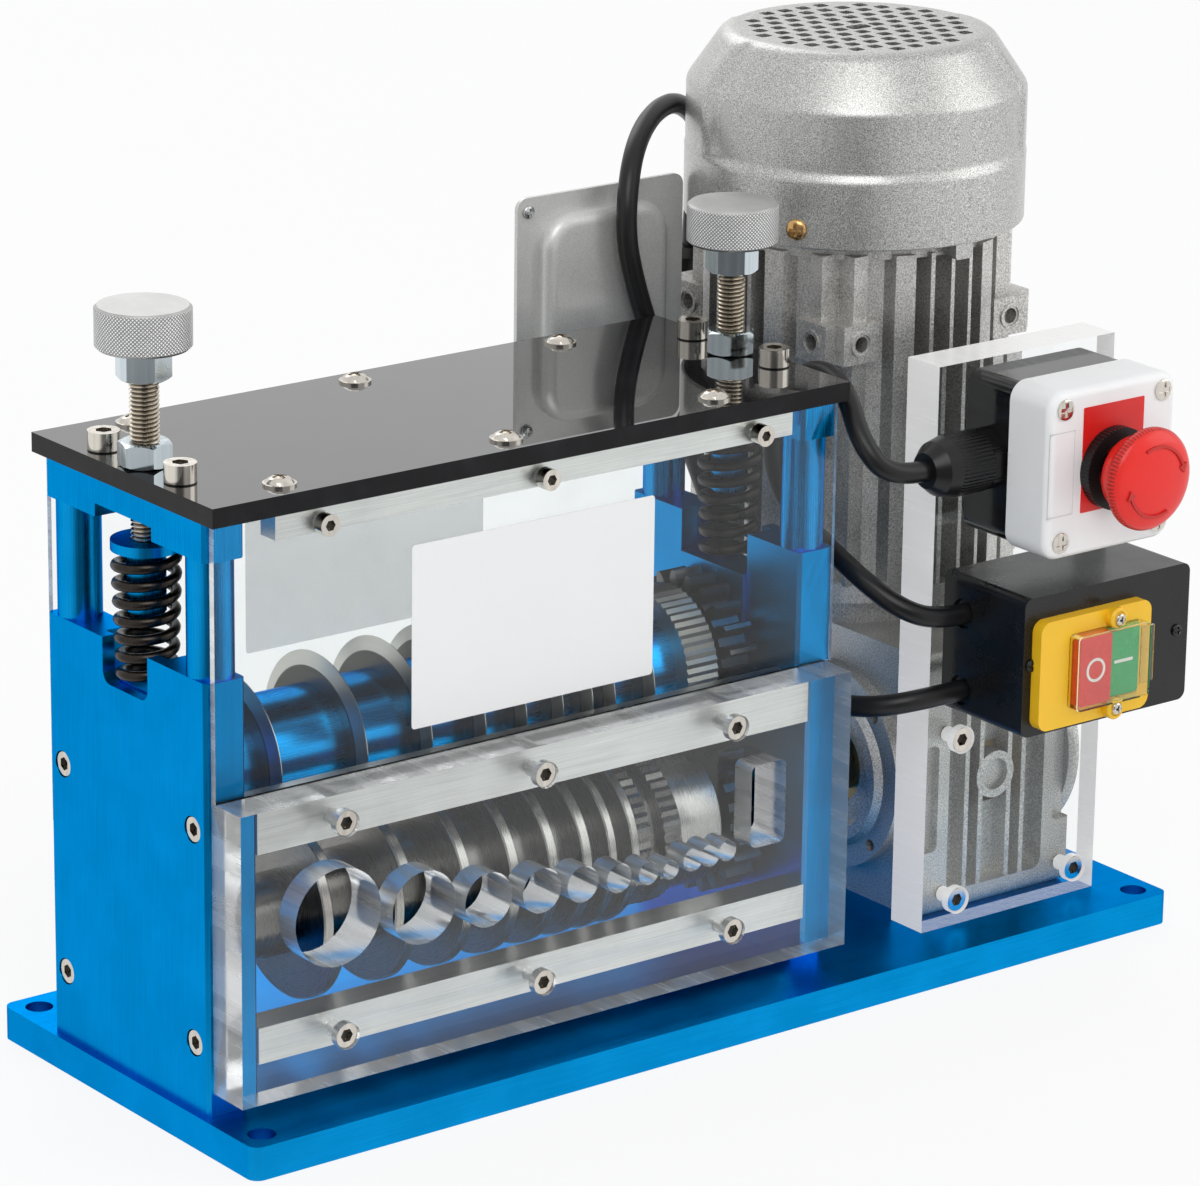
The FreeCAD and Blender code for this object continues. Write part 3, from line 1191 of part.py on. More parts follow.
def make_switch():
    front = CONTROL_FRONT - BOX_DEPTH
    shell = rounded(box(BOX_LEFT, BOX_RIGHT, front, CONTROL_FRONT, BOX_LOW, BOX_HIGH), 4.0, Y_AXIS)
    hollow = box(BOX_LEFT + 3, BOX_RIGHT - 3, front + 3, CONTROL_FRONT - 3, BOX_LOW + 3, BOX_HIGH - 3)
    cutout = box(SWITCH_X - 24, SWITCH_X + 24, front - 1, front + 4, SWITCH_Z - 19.5, SWITCH_Z + 19.5)
    shell = shell.cut(hollow).cut(cutout)
    for z in LEAD_HOLE_Z:
        shell = shell.cut(rod(V(BOX_LEFT - 1, LEAD_HOLE_Y, z), X_AXIS, LEAD_R + 2, 2.5))
    save("control_box", shell)
    bezel_front = front - SWITCH_THICK
    bezel = box(SWITCH_X - SWITCH_HALF_X, SWITCH_X + SWITCH_HALF_X, bezel_front, front,
                SWITCH_Z - SWITCH_HALF_Z, SWITCH_Z + SWITCH_HALF_Z)
    bezel = rounded(bezel, 5.0, Y_AXIS)
    body = box(SWITCH_X - 23.5, SWITCH_X + 23.5, front, front + 30, SWITCH_Z - 19, SWITCH_Z + 19)
    left = RED_X - BUTTON_WIDTH / 2 - 0.5
    right = GREEN_X + BUTTON_WIDTH / 2 + 0.5
    half = BUTTON_HALF_Z + 0.5
    well = box(left, right, bezel_front - 1, front + 22, SWITCH_Z - half, SWITCH_Z + half)
    frame = bezel.fuse(body).cut(well)
    for z in (SWITCH_Z + SWITCH_BOSS_RISE, SWITCH_Z - SWITCH_BOSS_RISE):
        boss = rod(V(SWITCH_BOSS_X, bezel_front - 4, z), Y_AXIS, SWITCH_BOSS_R, 8)
        frame = frame.fuse(boss).cut(rod(V(SWITCH_BOSS_X, bezel_front - 5, z), Y_AXIS, 1.5 + RUNNING, 10))
    save("switch_frame", frame.removeSplitter())
    for name, x, proud in (("red_button", RED_X, 4.0), ("green_button", GREEN_X, 1.0)):
        button = box(x - BUTTON_WIDTH / 2, x + BUTTON_WIDTH / 2, bezel_front - proud, front + 18,
                     SWITCH_Z - BUTTON_HALF_Z, SWITCH_Z + BUTTON_HALF_Z)
        save(name, bevelled(button, 0.8, Y_AXIS))


def make_membrane():
    """Clear flexible hood over the two buttons, with a flap on its right for lifting it."""
    front = CONTROL_FRONT - BOX_DEPTH - SWITCH_THICK
    left = RED_X - BUTTON_WIDTH / 2 - 2.5
    right = GREEN_X + BUTTON_WIDTH / 2 + 2.5
    low = SWITCH_Z - BUTTON_HALF_Z - 0.5 - HOOD_SKIN
    high = SWITCH_Z + BUTTON_HALF_Z + 0.5 + HOOD_SKIN
    hood = rounded(box(left, right, front - 6, front, low, high), 2.5, Y_AXIS)
    flap = box(right - 3, SWITCH_X + SWITCH_HALF_X + 1.5, front - HOOD_SKIN, front, low + 4, high - 4)
    room = box(left + HOOD_SKIN, right - HOOD_SKIN, front - 6 + HOOD_SKIN, front + 1,
               low + HOOD_SKIN, high - HOOD_SKIN)
    save("switch_hood", hood.fuse(flap).cut(room))


# Leads: straight runs joined by tangent arcs
def lead(route, name):
    points = [V(*p) for p in route]
    edges = []
    radii = []
    start = points[0]
    for i in range(1, len(points) - 1):
        before = points[i] - points[i - 1]
        after = points[i + 1] - points[i]
        turn = before.getAngle(after)
        shorter = min(before.Length, after.Length)
        setback = 0.45 * shorter
        radius = setback / math.tan(turn / 2)
        arc_start = points[i] - before.normalize() * setback
        arc_end = points[i] + after.normalize() * setback
        chord_middle = (arc_start + arc_end) * 0.5
        rise = radius / math.cos(turn / 2) - radius
        top = points[i] + (chord_middle - points[i]).normalize() * rise
        edges.append(Part.LineSegment(start, arc_start).toShape())
        edges.append(Part.Arc(arc_start, top, arc_end).toShape())
        start = arc_end
        radii.append(round(radius, 1))
    edges.append(Part.LineSegment(start, points[-1]).toShape())
    length = sum(edge.Length for edge in edges)
    path = Part.Wire(edges)
    section = Part.Circle(points[0], points[1] - points[0], LEAD_R)
    tube = path.makePipeShell([Part.Wire(section.toShape())], True, False)
    expected = math.pi * LEAD_R ** 2 * length
    print(name, "length", round(length, 1), "radii", radii, "volume ratio", round(tube.Volume / expected, 4))
    save(name, tube)


def main():
    make_base()
    cap_screws = make_end_plates()
    pan_screws = make_upper_frame()
    make_windows()
    save("cap_screws", cap_screws + make_feed_panel())
    make_feed_roller()
    make_gears()
    make_blade_shaft()
    make_bearings()
    make_springs()
    make_adjusters()
    make_gearbox()
    make_motor()
    make_fan_cover()
    make_terminal_box()
    make_control_plate()
    save("pan_head_screws", pan_screws + make_estop())
    make_switch()
    make_membrane()
    lead(MOTOR_LEAD, "motor_lead")
    lead(ESTOP_LEAD, "estop_lead")
    os.makedirs("parts", exist_ok=True)
    for name, shape in MODEL.items():
        if not shape.isValid():
            print("not valid:", name)
        shape.exportStep("parts/" + name + ".step")
    print(len(MODEL), "pieces written")


main()
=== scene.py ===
import math

import bmesh
import bpy
from mathutils import Matrix, Vector


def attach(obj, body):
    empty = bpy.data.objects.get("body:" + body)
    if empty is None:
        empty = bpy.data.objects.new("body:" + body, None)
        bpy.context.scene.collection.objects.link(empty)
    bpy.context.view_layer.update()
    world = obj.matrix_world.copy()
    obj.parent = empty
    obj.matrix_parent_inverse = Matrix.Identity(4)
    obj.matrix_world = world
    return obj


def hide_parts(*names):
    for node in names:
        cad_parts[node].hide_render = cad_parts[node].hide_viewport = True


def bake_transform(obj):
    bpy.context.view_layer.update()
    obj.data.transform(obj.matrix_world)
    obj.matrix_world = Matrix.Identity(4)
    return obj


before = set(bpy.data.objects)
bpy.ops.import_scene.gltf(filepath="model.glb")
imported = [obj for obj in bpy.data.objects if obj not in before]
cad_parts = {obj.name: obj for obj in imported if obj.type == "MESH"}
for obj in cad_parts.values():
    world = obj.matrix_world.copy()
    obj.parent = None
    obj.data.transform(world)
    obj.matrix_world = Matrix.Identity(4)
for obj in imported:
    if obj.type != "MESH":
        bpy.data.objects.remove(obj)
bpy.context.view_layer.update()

bl_info = {
    "name": "Wire Stripper Dressing",
    "version": (1, 0, 0),
    "blender": (4, 5, 0),
    "location": "View3D > Sidebar > Wire stripper",
    "description": "Dresses the packed wire stripping machine with its finishes and fine pieces",
    "category": "Object",
}

# Steps in one turn of a thread or spring
TURN_STEPS = 24

# Places and sizes that the new pieces keep to, in millimetres
MM = 0.001
HEAD_X = -82.0
COVER_TOP = 264.5
ADJUST_X = {"left": -226.5, "right": 62.5}
KNOB_R = 19.0
KNURL_PITCH = 1.55
SOCKET_PLAY = 0.04 * math.sqrt(3.0)
SPRING_LOW = 177.3
SPRING_HIGH = 228.7
BLOCK_TOP = 175.0
CAP_UNDERSIDE = 231.0
ROLLER_Z = 71.0
BLADE_Z = 137.2
BLADE_BEVEL_R = 30.0
MOTOR_AXIS = (170.0, 50.0)
STOP_AXIS = (169.0, 226.0)
STOP_FRONT = -120.0
GLAND = (101.0, -81.0, 226.0)
SWITCH_X = 171.0
SWITCH_FRONT = -127.0
RED_X = 158.0
GREEN_X = 176.3
BUTTON_Z = 141.5

# Routes of the two leads, in metres, with their real lengths
MOTOR_LEAD = [
    (0.1420, 0.1260, 0.2730),
    (0.1420, 0.1260, 0.2920),
    (0.1465, 0.1255, 0.3130),
    (0.1410, 0.1225, 0.3310),
    (0.1215, 0.1125, 0.3425),
    (0.1045, 0.1035, 0.3435),
    (0.0875, 0.0925, 0.3395),
    (0.0725, 0.0805, 0.3310),
    (0.0640, 0.0730, 0.3160),
    (0.0623, 0.0710, 0.2985),
    (0.0665, 0.0710, 0.2810),
    (0.0730, 0.0708, 0.2620),
    (0.0800, 0.0690, 0.2400),
    (0.0862, 0.0634, 0.2175),
    (0.0892, 0.0539, 0.1964),
    (0.0896, 0.0415, 0.1764),
    (0.0889, 0.0270, 0.1577),
    (0.0874, 0.0091, 0.1401),
    (0.0851, -0.0147, 0.1252),
    (0.0838, -0.0429, 0.1178),
    (0.0910, -0.0671, 0.1213),
    (0.1073, -0.0790, 0.1254),
    (0.1279, -0.0790, 0.1254),
]
ESTOP_LEAD = [
    (0.1010, -0.0810, 0.2260),
    (0.0825, -0.0810, 0.2260),
    (0.0747, -0.0712, 0.2397),
    (0.0817, -0.0529, 0.2562),
    (0.0880, -0.0330, 0.2598),
    (0.0892, -0.0174, 0.2558),
    (0.0890, -0.0046, 0.2449),
    (0.0891, 0.0037, 0.2296),
    (0.0894, 0.0045, 0.2129),
    (0.0900, -0.0026, 0.1985),
    (0.0904, -0.0153, 0.1889),
    (0.0903, -0.0326, 0.1834),
    (0.0907, -0.0533, 0.1750),
    (0.0983, -0.0712, 0.1644),
    (0.1120, -0.0790, 0.1590),
    (0.1279, -0.0790, 0.1590),
]
LEADS = {"motor_lead": (MOTOR_LEAD, 0.477), "estop_lead": (ESTOP_LEAD, 0.271)}


# Finishes: sums on wired values write their own maths nodes
class Wired:
    """A value that varies over the surface. Python's operators add the nodes."""

    def __init__(self, finish, socket):
        self.finish = finish
        self.socket = socket

    def maths(self, operation, *values):
        return self.finish.node("ShaderNodeMath", {"operation": operation}, list(values))

    def __add__(self, other):
        return self.maths("ADD", self, other)

    def __sub__(self, other):
        return self.maths("SUBTRACT", self, other)

    def __rsub__(self, other):
        return self.maths("SUBTRACT", other, self)

    def __mul__(self, other):
        return self.maths("MULTIPLY", self, other)

    def __abs__(self):
        return self.maths("ABSOLUTE", self)

    def __lt__(self, other):
        return self.maths("LESS_THAN", self, other)

    def __gt__(self, other):
        return self.maths("GREATER_THAN", self, other)

    __radd__ = __add__
    __rmul__ = __mul__

    def fraction(self):
        return self.maths("FRACT", self)

    def largest(self, other):
        return self.maths("MAXIMUM", self, other)

    def least(self, other):
        return self.maths("MINIMUM", self, other)

    def angle_to(self, other):
        """The angle of the point whose height is this value and whose reach is the other."""
        return self.maths("ARCTAN2", self, other)

    def length_with(self, other):
        return self.maths("SQRT", self * self + other * other)

    def eased(self, low, high):
        """Eases from nought to one while the value goes from low to high."""
        settings = {"interpolation_type": "SMOOTHSTEP"}
        values = {"Value": self, "From Min": low, "From Max": high}
        return self.finish.node("ShaderNodeMapRange", settings, values)


class Finish:
    """Builds one finish: a material with its surface shader and the nodes that vary it."""

    def __init__(self, name, world=False):
        self.data = bpy.data.worlds.new(name) if world else bpy.data.materials.new(name)
        self.data.use_nodes = True
        self.tree = self.data.node_tree
        self.tree.nodes.clear()
        self.output = self.tree.nodes.new("ShaderNodeOutputWorld" if world else "ShaderNodeOutputMaterial")

    def node(self, kind, settings=None, values=(), output=0):
        made = self.tree.nodes.new(kind)
        for key, value in (settings or {}).items():
            setattr(made, key, value)
        pairs = values.items() if isinstance(values, dict) else enumerate(values)
        for key, value in pairs:
            self.connect(value, made.inputs[key])
        return Wired(self, made.outputs[output])

    def connect(self, value, socket):
        if isinstance(value, Wired):
            self.tree.links.new(value.socket, socket)
        elif value is not None:
            socket.default_value = value

    def point(self, centre=(0.0, 0.0, 0.0), scale=(1.0, 1.0, 1.0)):
        """Object coordinates measured from a centre given in millimetres."""
        place = self.node("ShaderNodeTexCoord", output="Object")
        shift = [-c * MM * s for c, s in zip(centre, scale)]
        return self.node("ShaderNodeMapping", None, {"Vector": place, "Location": shift, "Scale": scale})

    def axes(self, vector):
        split = self.node("ShaderNodeSeparateXYZ", None, [vector])
        outputs = split.socket.node.outputs
        return [Wired(self, outputs[i]) for i in range(3)]

    def facing(self):
        """How far the surface faces along each axis of its piece."""
        return [abs(part) for part in self.axes(self.node("ShaderNodeTexCoord", output="Normal"))]

    def rays(self, *kinds):
        """One for rays of the named kinds, and nought for the others."""
        first = self.node("ShaderNodeLightPath", output="Is %s Ray" % kinds[0])
        outputs = first.socket.node.outputs
        for kind in kinds[1:]:
            first = first.largest(Wired(self, outputs["Is %s Ray" % kind]))
        return first

    def noise(self, vector, scale, detail=3.0, rough=0.55):
        values = {"Vector": vector, "Scale": scale, "Detail": detail, "Roughness": rough}
        return self.node("ShaderNodeTexNoise", None, values, "Fac")

    def blend(self, factor, first, second):
        """A colour between two colours."""
        made = self.tree.nodes.new("ShaderNodeMix")
        made.data_type = "RGBA"
        self.connect(factor, made.inputs["Factor"])
        for index, colour in ((6, first), (7, second)):
            value = colour if isinstance(colour, Wired) else (*colour, 1.0)
            self.connect(value, made.inputs[index])
        return Wired(self, made.outputs[2])

    def shades(self, factor, colour, low, high, lift=0.0):
        """The same colour from darker to lighter."""
        return self.blend(factor, [c * low for c in colour], [min(c * high + lift, 1.0) for c in colour])

    def bump(self, height, strength, distance):
        values = {"Height": height, "Strength": strength, "Distance": distance}
        return self.node("ShaderNodeBump", None, values)

    def surface(self, **values):
        """The main shader; names are its sockets with underscores for blanks."""
        named = {}
        for key, value in values.items():
            label = key.replace("_", " ").title().replace("Ior", "IOR")
            if label == "Base Color" and not isinstance(value, Wired):
                value = (*value, 1.0)
            named[label] = value
        return self.node("ShaderNodeBsdfPrincipled", None, named)

    def done(self, shader=None, **values):
        """Ends the finish with a shader, or with the main shader's values."""
        if shader is None:
            shader = self.surface(**values)
        self.tree.links.new(shader.socket, self.output.inputs["Surface"])
        return self.data


def grained(finish, point, along, fine):
    """Fine lines that run along one axis, as brushing or turning leaves them, and a soft cloud."""
    scale = [fine, fine, fine]
    scale[along] = fine * 0.012
    stretched = finish.node("ShaderNodeMapping", None, {"Vector": point, "Scale": scale})
    return finish.noise(stretched, 1.0, 2.0, 0.6), finish.noise(point, 40.0, 3.0, 0.5)


def anodised(name, colour, along=2, rough=0.34):
    """Brushed and dyed aluminium: fine lines, slightly uneven dye and paler rubbed marks."""
    finish = Finish(name)
    lines, cloud = grained(finish, finish.point(), along, 2600.0)
    shade = finish.shades((lines * 0.55 + cloud * 0.45).eased(0.30, 0.72), colour, 0.86, 1.10, 0.002)
    edge = [0.15 + 0.85 * c for c in colour]
    return finish.done(
        base_color=shade, metallic=1.0, roughness=lines * 0.14 + cloud * 0.10 + (rough - 0.12),
        normal=finish.bump(lines, 0.06, 0.00012), specular_tint=(*edge, 1.0))


def bare_metal(name, colour, along=2, rough=0.30, fine=600.0, depth=0.12, foot=None):
    """Bare metal with drawn or ground lines along one axis, and a shaded foot just above a height."""
    finish = Finish(name)
    point = finish.point()
    lines, cloud = grained(finish, point, along, fine)
    shade = finish.shades((lines * 0.7 + cloud * 0.3).eased(0.28, 0.74), colour, 0.82, 1.08)
    if foot:
        # Painted shade: the colour is darkened almost to black up to just above the foot height, where the
        # screw meets the face below.
        above = finish.axes(point)[2].eased((foot + 0.35) * MM, (foot + 0.8) * MM)
        shade = finish.blend(above, [c * 0.05 for c in colour], shade)
    return finish.done(
        base_color=shade, metallic=1.0, roughness=lines * 0.16 + cloud * 0.12 + (rough - 0.14),
        normal=finish.bump(lines, depth, 0.00012))


def turned_metal(name, colour, centre, rough=0.26, bright=None):
    """Turned steel: fine rings round the X axis through a centre. Where both are given, a painted highlight
    makes it bright beyond the bright reach in mm, and to the right of the bright place in mm."""
    finish = Finish(name)
    point = finish.point(centre)
    x, y, z = finish.axes(point)
    reach = y.length_with(z)
    cloud = finish.noise(point, 55.0, 3.0)
    stretched = finish.node("ShaderNodeCombineXYZ", None, [x * 2600.0, reach * 2600.0, y.angle_to(z) * 1.5])
    rings = finish.noise(stretched, 1.0, 2.0, 0.6)
    tone = (rings * 0.55 + cloud * 0.45).eased(0.30, 0.70)
    shade = finish.shades(tone, colour, 0.76, 1.08)
    if bright:
        # Painted highlight: a lighter copy of the steel beyond the bright reach and right of the bright place.
        painted_highlight = (reach > bright[0] * MM).largest(x > bright[1] * MM)
        shade = finish.blend(painted_highlight, shade, finish.shades(tone, colour, 1.9, 2.6))
    return finish.done(
        base_color=shade, metallic=1.0, roughness=rings * 0.16 + cloud * 0.12 + (rough - 0.12),
        normal=finish.bump(rings, 0.07, 0.000105))


def cast_metal(name, colour, rough=0.48):
    """Die-cast aluminium: a fine pebbled skin, duller in patches."""
    finish = Finish(name)
    point = finish.point()
    pebbles = finish.noise(point, 1500.0, 3.0, 0.7)
    cloud = finish.noise(point, 18.0, 4.0, 0.6)
    return finish.done(
        base_color=finish.shades((pebbles * 0.7 + cloud * 0.3).eased(0.34, 0.64), colour, 0.46, 1.30),
        metallic=0.9, roughness=pebbles * 0.22 + cloud * 0.16 + (rough - 0.18),
        normal=finish.bump(pebbles, 0.5, 0.0005))


def silver_paint(name, colour, contrast=1.0, rough=0.26, metallic=0.9):
    """Metallic paint with visible flakes under a clear coat."""
    finish = Finish(name)
    point = finish.point()
    flakes = finish.noise(point, 2700.0, 1.0, 0.5)
    ripple = finish.noise(point, 420.0, 2.0, 0.5)
    cloud = finish.noise(point, 9.0, 3.0, 0.55)
    speckle = flakes.eased(0.38, 0.62)
    shade = finish.shades(speckle * 0.8 + cloud * 0.2, colour, 1 - 0.62 * contrast, 1 + 0.42 * contrast)
    return finish.done(
        base_color=shade, metallic=metallic, roughness=speckle * 0.18 + ripple * 0.06 + rough,
        normal=finish.bump(flakes * 0.6 + ripple * 0.4, 0.30 * contrast, 0.0003),
        coat_weight=0.25, coat_roughness=0.10)


def plastic(name, colour, rough=0.35, grain=1400.0, depth=0.10, coat=0.0, varied=0.08, gloss=0.5):
    """Moulded plastic: a fine texture, a little uneven in tone, scuffed in patches."""
    finish = Finish(name)
    point = finish.point()
    texture = finish.noise(point, grain, 2.0, 0.5)
    cloud = finish.noise(point, 26.0, 4.0, 0.6)
    return finish.done(
        base_color=finish.shades(cloud.eased(0.3, 0.7), colour, 1 - varied, 1 + varied, 0.004),
        roughness=texture * 0.10 + cloud.eased(0.35, 0.75) * 0.10 + (rough - 0.08),
        normal=finish.bump(texture, depth, 0.0002), coat_weight=coat, coat_roughness=0.08,
        specular_ior_level=gloss)


def glossy_cover(colour):
    """Black acrylic: a mirror-like broad face, and duller sawn edges with fine saw lines."""
    finish = Finish("glossy_cover")
    broad = finish.facing()[2] > 0.5
    dust = finish.noise(finish.point(), 46.0, 4.0, 0.6)
    saw = finish.noise(finish.point(scale=(1.0, 1.0, 0.02)), 1500.0, 2.0)
    return finish.done(
        base_color=finish.shades(dust.eased(0.4, 0.8), colour, 1.0, 1.8, 0.002),
        roughness=dust.eased(0.45, 0.85) * 0.012 + 0.012 + (1.0 - broad) * 0.22, specular_ior_level=0.14,
        coat_weight=broad * 0.95, coat_roughness=0.015, normal=finish.bump(saw * (1.0 - broad), 0.1, 0.0001))


def threaded(name, colour, x):
    """Plated thread: bright on its crests, and darkened by painted shade at its roots."""
    finish = Finish(name)
    point = finish.point((x, 0.0, 0.0))
    first, second = finish.axes(point)[:2]
    # Painted shade: the thread darkens from its crests down to its roots.
    crest = first.length_with(second).eased(5.0 * MM, 5.8 * MM)
    cloud = finish.noise(point, 260.0, 3.0)
    return finish.done(
        base_color=finish.shades(crest, colour, 0.22, 1.0), metallic=1.0, roughness=cloud * 0.14 + 0.14,
        normal=finish.bump(cloud, 0.05, 0.0002))


def clear_sheet(name, tint, frost=None, tones=(1.0, 1.0), glow=0.0, shine=0.9):
    """Clear acrylic. With frost, sawn edges and drilled holes are whitish by that much, in streaks
    between the two tones. With glow, they also shine with painted light, as if lit from within."""
    finish = Finish(name)
    dust = finish.noise(finish.point(), 60.0, 4.0, 0.6)
    glass = finish.surface(
        base_color=finish.shades(dust.eased(0.45, 0.8), tint, 1.0, 0.97),
        roughness=dust.eased(0.5, 0.85) * 0.015, transmission_weight=1.0, ior=1.49,
        specular_tint=(shine, shine, shine, 1.0))
    through = finish.node("ShaderNodeBsdfTransparent", None, {"Color": (0.93, 0.95, 0.95, 1.0)})
    straight = 1.0 - finish.rays("Transmission")
    bounced = finish.rays("Shadow", "Diffuse").largest(finish.rays("Glossy") * straight)
    clear = finish.node("ShaderNodeMixShader", None, [bounced, glass, through])
    if frost is None:
        return finish.done(clear)
    marks = finish.noise(finish.point(scale=(1.0, 0.04, 1.0)), 190.0, 2.0, 0.5).eased(0.30, 0.70)
    # Painted light: with glow, the frosted faces give off light of their own.
    frosted = finish.surface(
        base_color=finish.blend(marks, [tones[0]] * 3, [tones[1]] * 3),
        roughness=marks * 0.10 + 0.20, transmission_weight=1.0 - frost, ior=1.49,
        normal=finish.bump(marks, 0.08, 0.0003), emission_strength=glow,
        emission_color=(1.0, 0.985, 0.975, 1.0))
    edge = finish.facing()[1] < 0.5
    return finish.done(finish.node("ShaderNodeMixShader", None, [edge, clear, frosted]))


def pale_film(name, colour, alpha):
    """A thin film: pale, smooth and, below an alpha of one, see-through."""
    finish = Finish(name)
    cloud = finish.noise(finish.point(), 30.0, 3.0)
    return finish.done(
        base_color=finish.shades(cloud, colour, 0.97, 1.0), roughness=cloud * 0.08 + 0.34, alpha=alpha)


def knurled(name, colour, centre, lines):
    """Diamond knurling on the rim of a knob, and turned rings on its top."""
    finish = Finish(name)
    point = finish.point(centre)
    x, y, z = finish.axes(point)
    reach = x.length_with(y)
    around = y.angle_to(x) * (lines / (2 * math.pi))
    up = z * (1.0 / (KNURL_PITCH * MM))
    first = abs((around + up).fraction() - 0.5) * 2.0
    second = abs((around - up).fraction() - 0.5) * 2.0
    diamonds = first.least(second).eased(0.05, 0.5)
    rim = reach > (KNOB_R - 0.4) * MM
    top = 1.0 - rim
    cloud = finish.noise(point, 90.0, 3.0)
    rings = finish.noise(finish.node("ShaderNodeCombineXYZ", None, [reach * 2600.0, 0.0, 0.0]), 1.0, 2.0)
    # Painted shade: the grooves between the diamonds are darker.
    tone = (diamonds * rim + top * (rings * 0.40 + 0.10)) * 0.8 + cloud * 0.2
    return finish.done(
        base_color=finish.shades(tone, colour, 0.24, 1.55), metallic=1.0 - rim * 0.8,
        roughness=cloud * 0.10 + top * 0.12 + 0.24,
        normal=finish.bump(diamonds * rim + rings * top * 0.05, 0.9, 0.0006))


def serrated(name, colour, centre, axis, lines, rough=0.30, depth=0.0004, rim=0.0, coat=0.0):
    """Straight ribs all the way round an axis, beyond the rim's radius in mm."""
    finish = Finish(name)
    point = finish.point(centre)
    parts = finish.axes(point)
    first, second = [parts[i] for i in range(3) if i != axis]
    around = first.angle_to(second) * (lines / (2 * math.pi))
    ribs = (abs(around.fraction() - 0.5) * 2.0).eased(0.1, 0.8)
    outside = first.length_with(second) > rim * MM
    cloud = finish.noise(point, 70.0, 3.0)
    # Painted shade: the grooves between the ribs are darker.
    tone = (ribs * outside + (1.0 - outside)) * 0.75 + cloud * 0.25
    return finish.done(
        base_color=finish.shades(tone, colour, 0.5, 1.0), roughness=cloud * 0.12 + (rough - 0.06),
        coat_weight=coat, specular_ior_level=0.35, normal=finish.bump(ribs * outside, 0.8, depth))


def blade_finish(name, colour):
    """Hardened discs: lapped sides darkened by painted shade, and a bright ground bevel at the rim."""
    finish = Finish(name)
    point = finish.point((0.0, 0.0, BLADE_Z))
    x, y, z = finish.axes(point)
    reach = y.length_with(z)
    bevel = reach.eased((BLADE_BEVEL_R + 0.4) * MM, (BLADE_BEVEL_R + 0.9) * MM)
    rings = finish.noise(finish.node("ShaderNodeCombineXYZ", None, [reach * 2400.0, x * 300.0, 0.0]), 1.0, 2.0)
    cloud = finish.noise(point, 40.0, 4.0, 0.6)
    # Painted shade: the sides are kept far darker than the steel of the bevel.
    side = finish.shades(rings * 0.5 + cloud * 0.5, colour, 0.09, 0.22)
    return finish.done(
        base_color=finish.blend(bevel, side, finish.shades(rings, colour, 0.80, 1.0)), metallic=1.0,
        roughness=cloud * 0.14 + rings * 0.12 + 0.20, normal=finish.bump(rings, 0.12, 0.0001))


# Making and placing pieces
def smooth_mesh(mesh, sharp):
    mesh.shade_smooth()
    mesh.set_sharp_from_angle(angle=math.radians(sharp))


def new_object(name, form):
    """Puts a form into the scene as an object of its own."""
    mesh = bpy.data.meshes.new(name)
    form.to_mesh(mesh)
    form.free()
    made = bpy.data.objects.new(name, mesh)
    bpy.context.scene.collection.objects.link(made)
    return made


def piece(name, form, body, material, replaces=(), sharp=32.0):
    """Turns a bmesh made in millimetres into a piece that rides on a body, where one is named."""
    bmesh.ops.scale(form, vec=(MM, MM, MM), verts=form.verts)
    bmesh.ops.remove_doubles(form, verts=form.verts, dist=1e-7)
    bmesh.ops.recalc_face_normals(form, faces=form.faces)
    made = new_object(name, form)
    smooth_mesh(made.data, sharp)
    made.data.materials.append(material)
    if body:
        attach(made, body)
    if replaces:
        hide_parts(*replaces)
    return made


def dress(material, *names):
    """Gives CAD nodes their finish."""
    for name in names:
        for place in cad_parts[name].material_slots:
            place.material = material


def shift(form, by, verts=None):
    """Moves the given vertices, or all of them."""
    bmesh.ops.translate(form, vec=by, verts=verts or list(form.verts))


def swing(form, angle, verts=None):
    """Turns the given vertices, or all of them, round the Z axis."""
    bmesh.ops.rotate(
        form, cent=(0, 0, 0), matrix=Matrix.Rotation(angle, 3, "Z"), verts=verts or list(form.verts))


def sweep(form, geom, angle, steps, rise=0.0, merge=False):
    """Carries vertices and edges round the Z axis, climbing by the rise at each step."""
    bmesh.ops.spin(
        form, geom=geom, cent=(0, 0, 0), axis=(0, 0, 1), dvec=(0, 0, rise), angle=angle, steps=steps,
        use_merge=merge, use_duplicate=False)


def outline(form, profile):
    """Joins (radius, height) pairs by edges in the XZ plane."""
    verts = [form.verts.new((r, 0, h)) for r, h in profile]
    return verts, [form.edges.new(two) for two in zip(verts, verts[1:])]


def revolve(form, profile, steps=48, centre=(0, 0, 0), axis="Z"):
    """Spins (radius, height) pairs round an axis and adds the closed result to the form."""
    verts, edges = outline(form, profile)
    sweep(form, verts + edges, 2 * math.pi, steps, merge=True)
    turn_to(form, linked(verts), centre, axis)


def linked(verts):
    """All vertices joined to the given ones."""
    seen = set()
    queue = [v for v in verts if v.is_valid]
    while queue:
        vert = queue.pop()
        if vert in seen:
            continue
        seen.add(vert)
        queue += [e.other_vert(vert) for e in vert.link_edges]
    return list(seen)


def turn_to(form, verts, centre, axis):
    """Moves vertices made round Z to a centre, with Z turned to the named direction."""
    turns = {
        "Z": Matrix.Identity(4),
        "-Z": Matrix.Rotation(math.pi, 4, "X"),
        "X": Matrix.Rotation(math.pi / 2, 4, "Y"),
        "-X": Matrix.Rotation(-math.pi / 2, 4, "Y"),
        "Y": Matrix.Rotation(-math.pi / 2, 4, "X"),
        "-Y": Matrix.Rotation(math.pi / 2, 4, "X"),
    }
    bmesh.ops.transform(form, matrix=Matrix.Translation(centre) @ turns[axis], verts=verts)


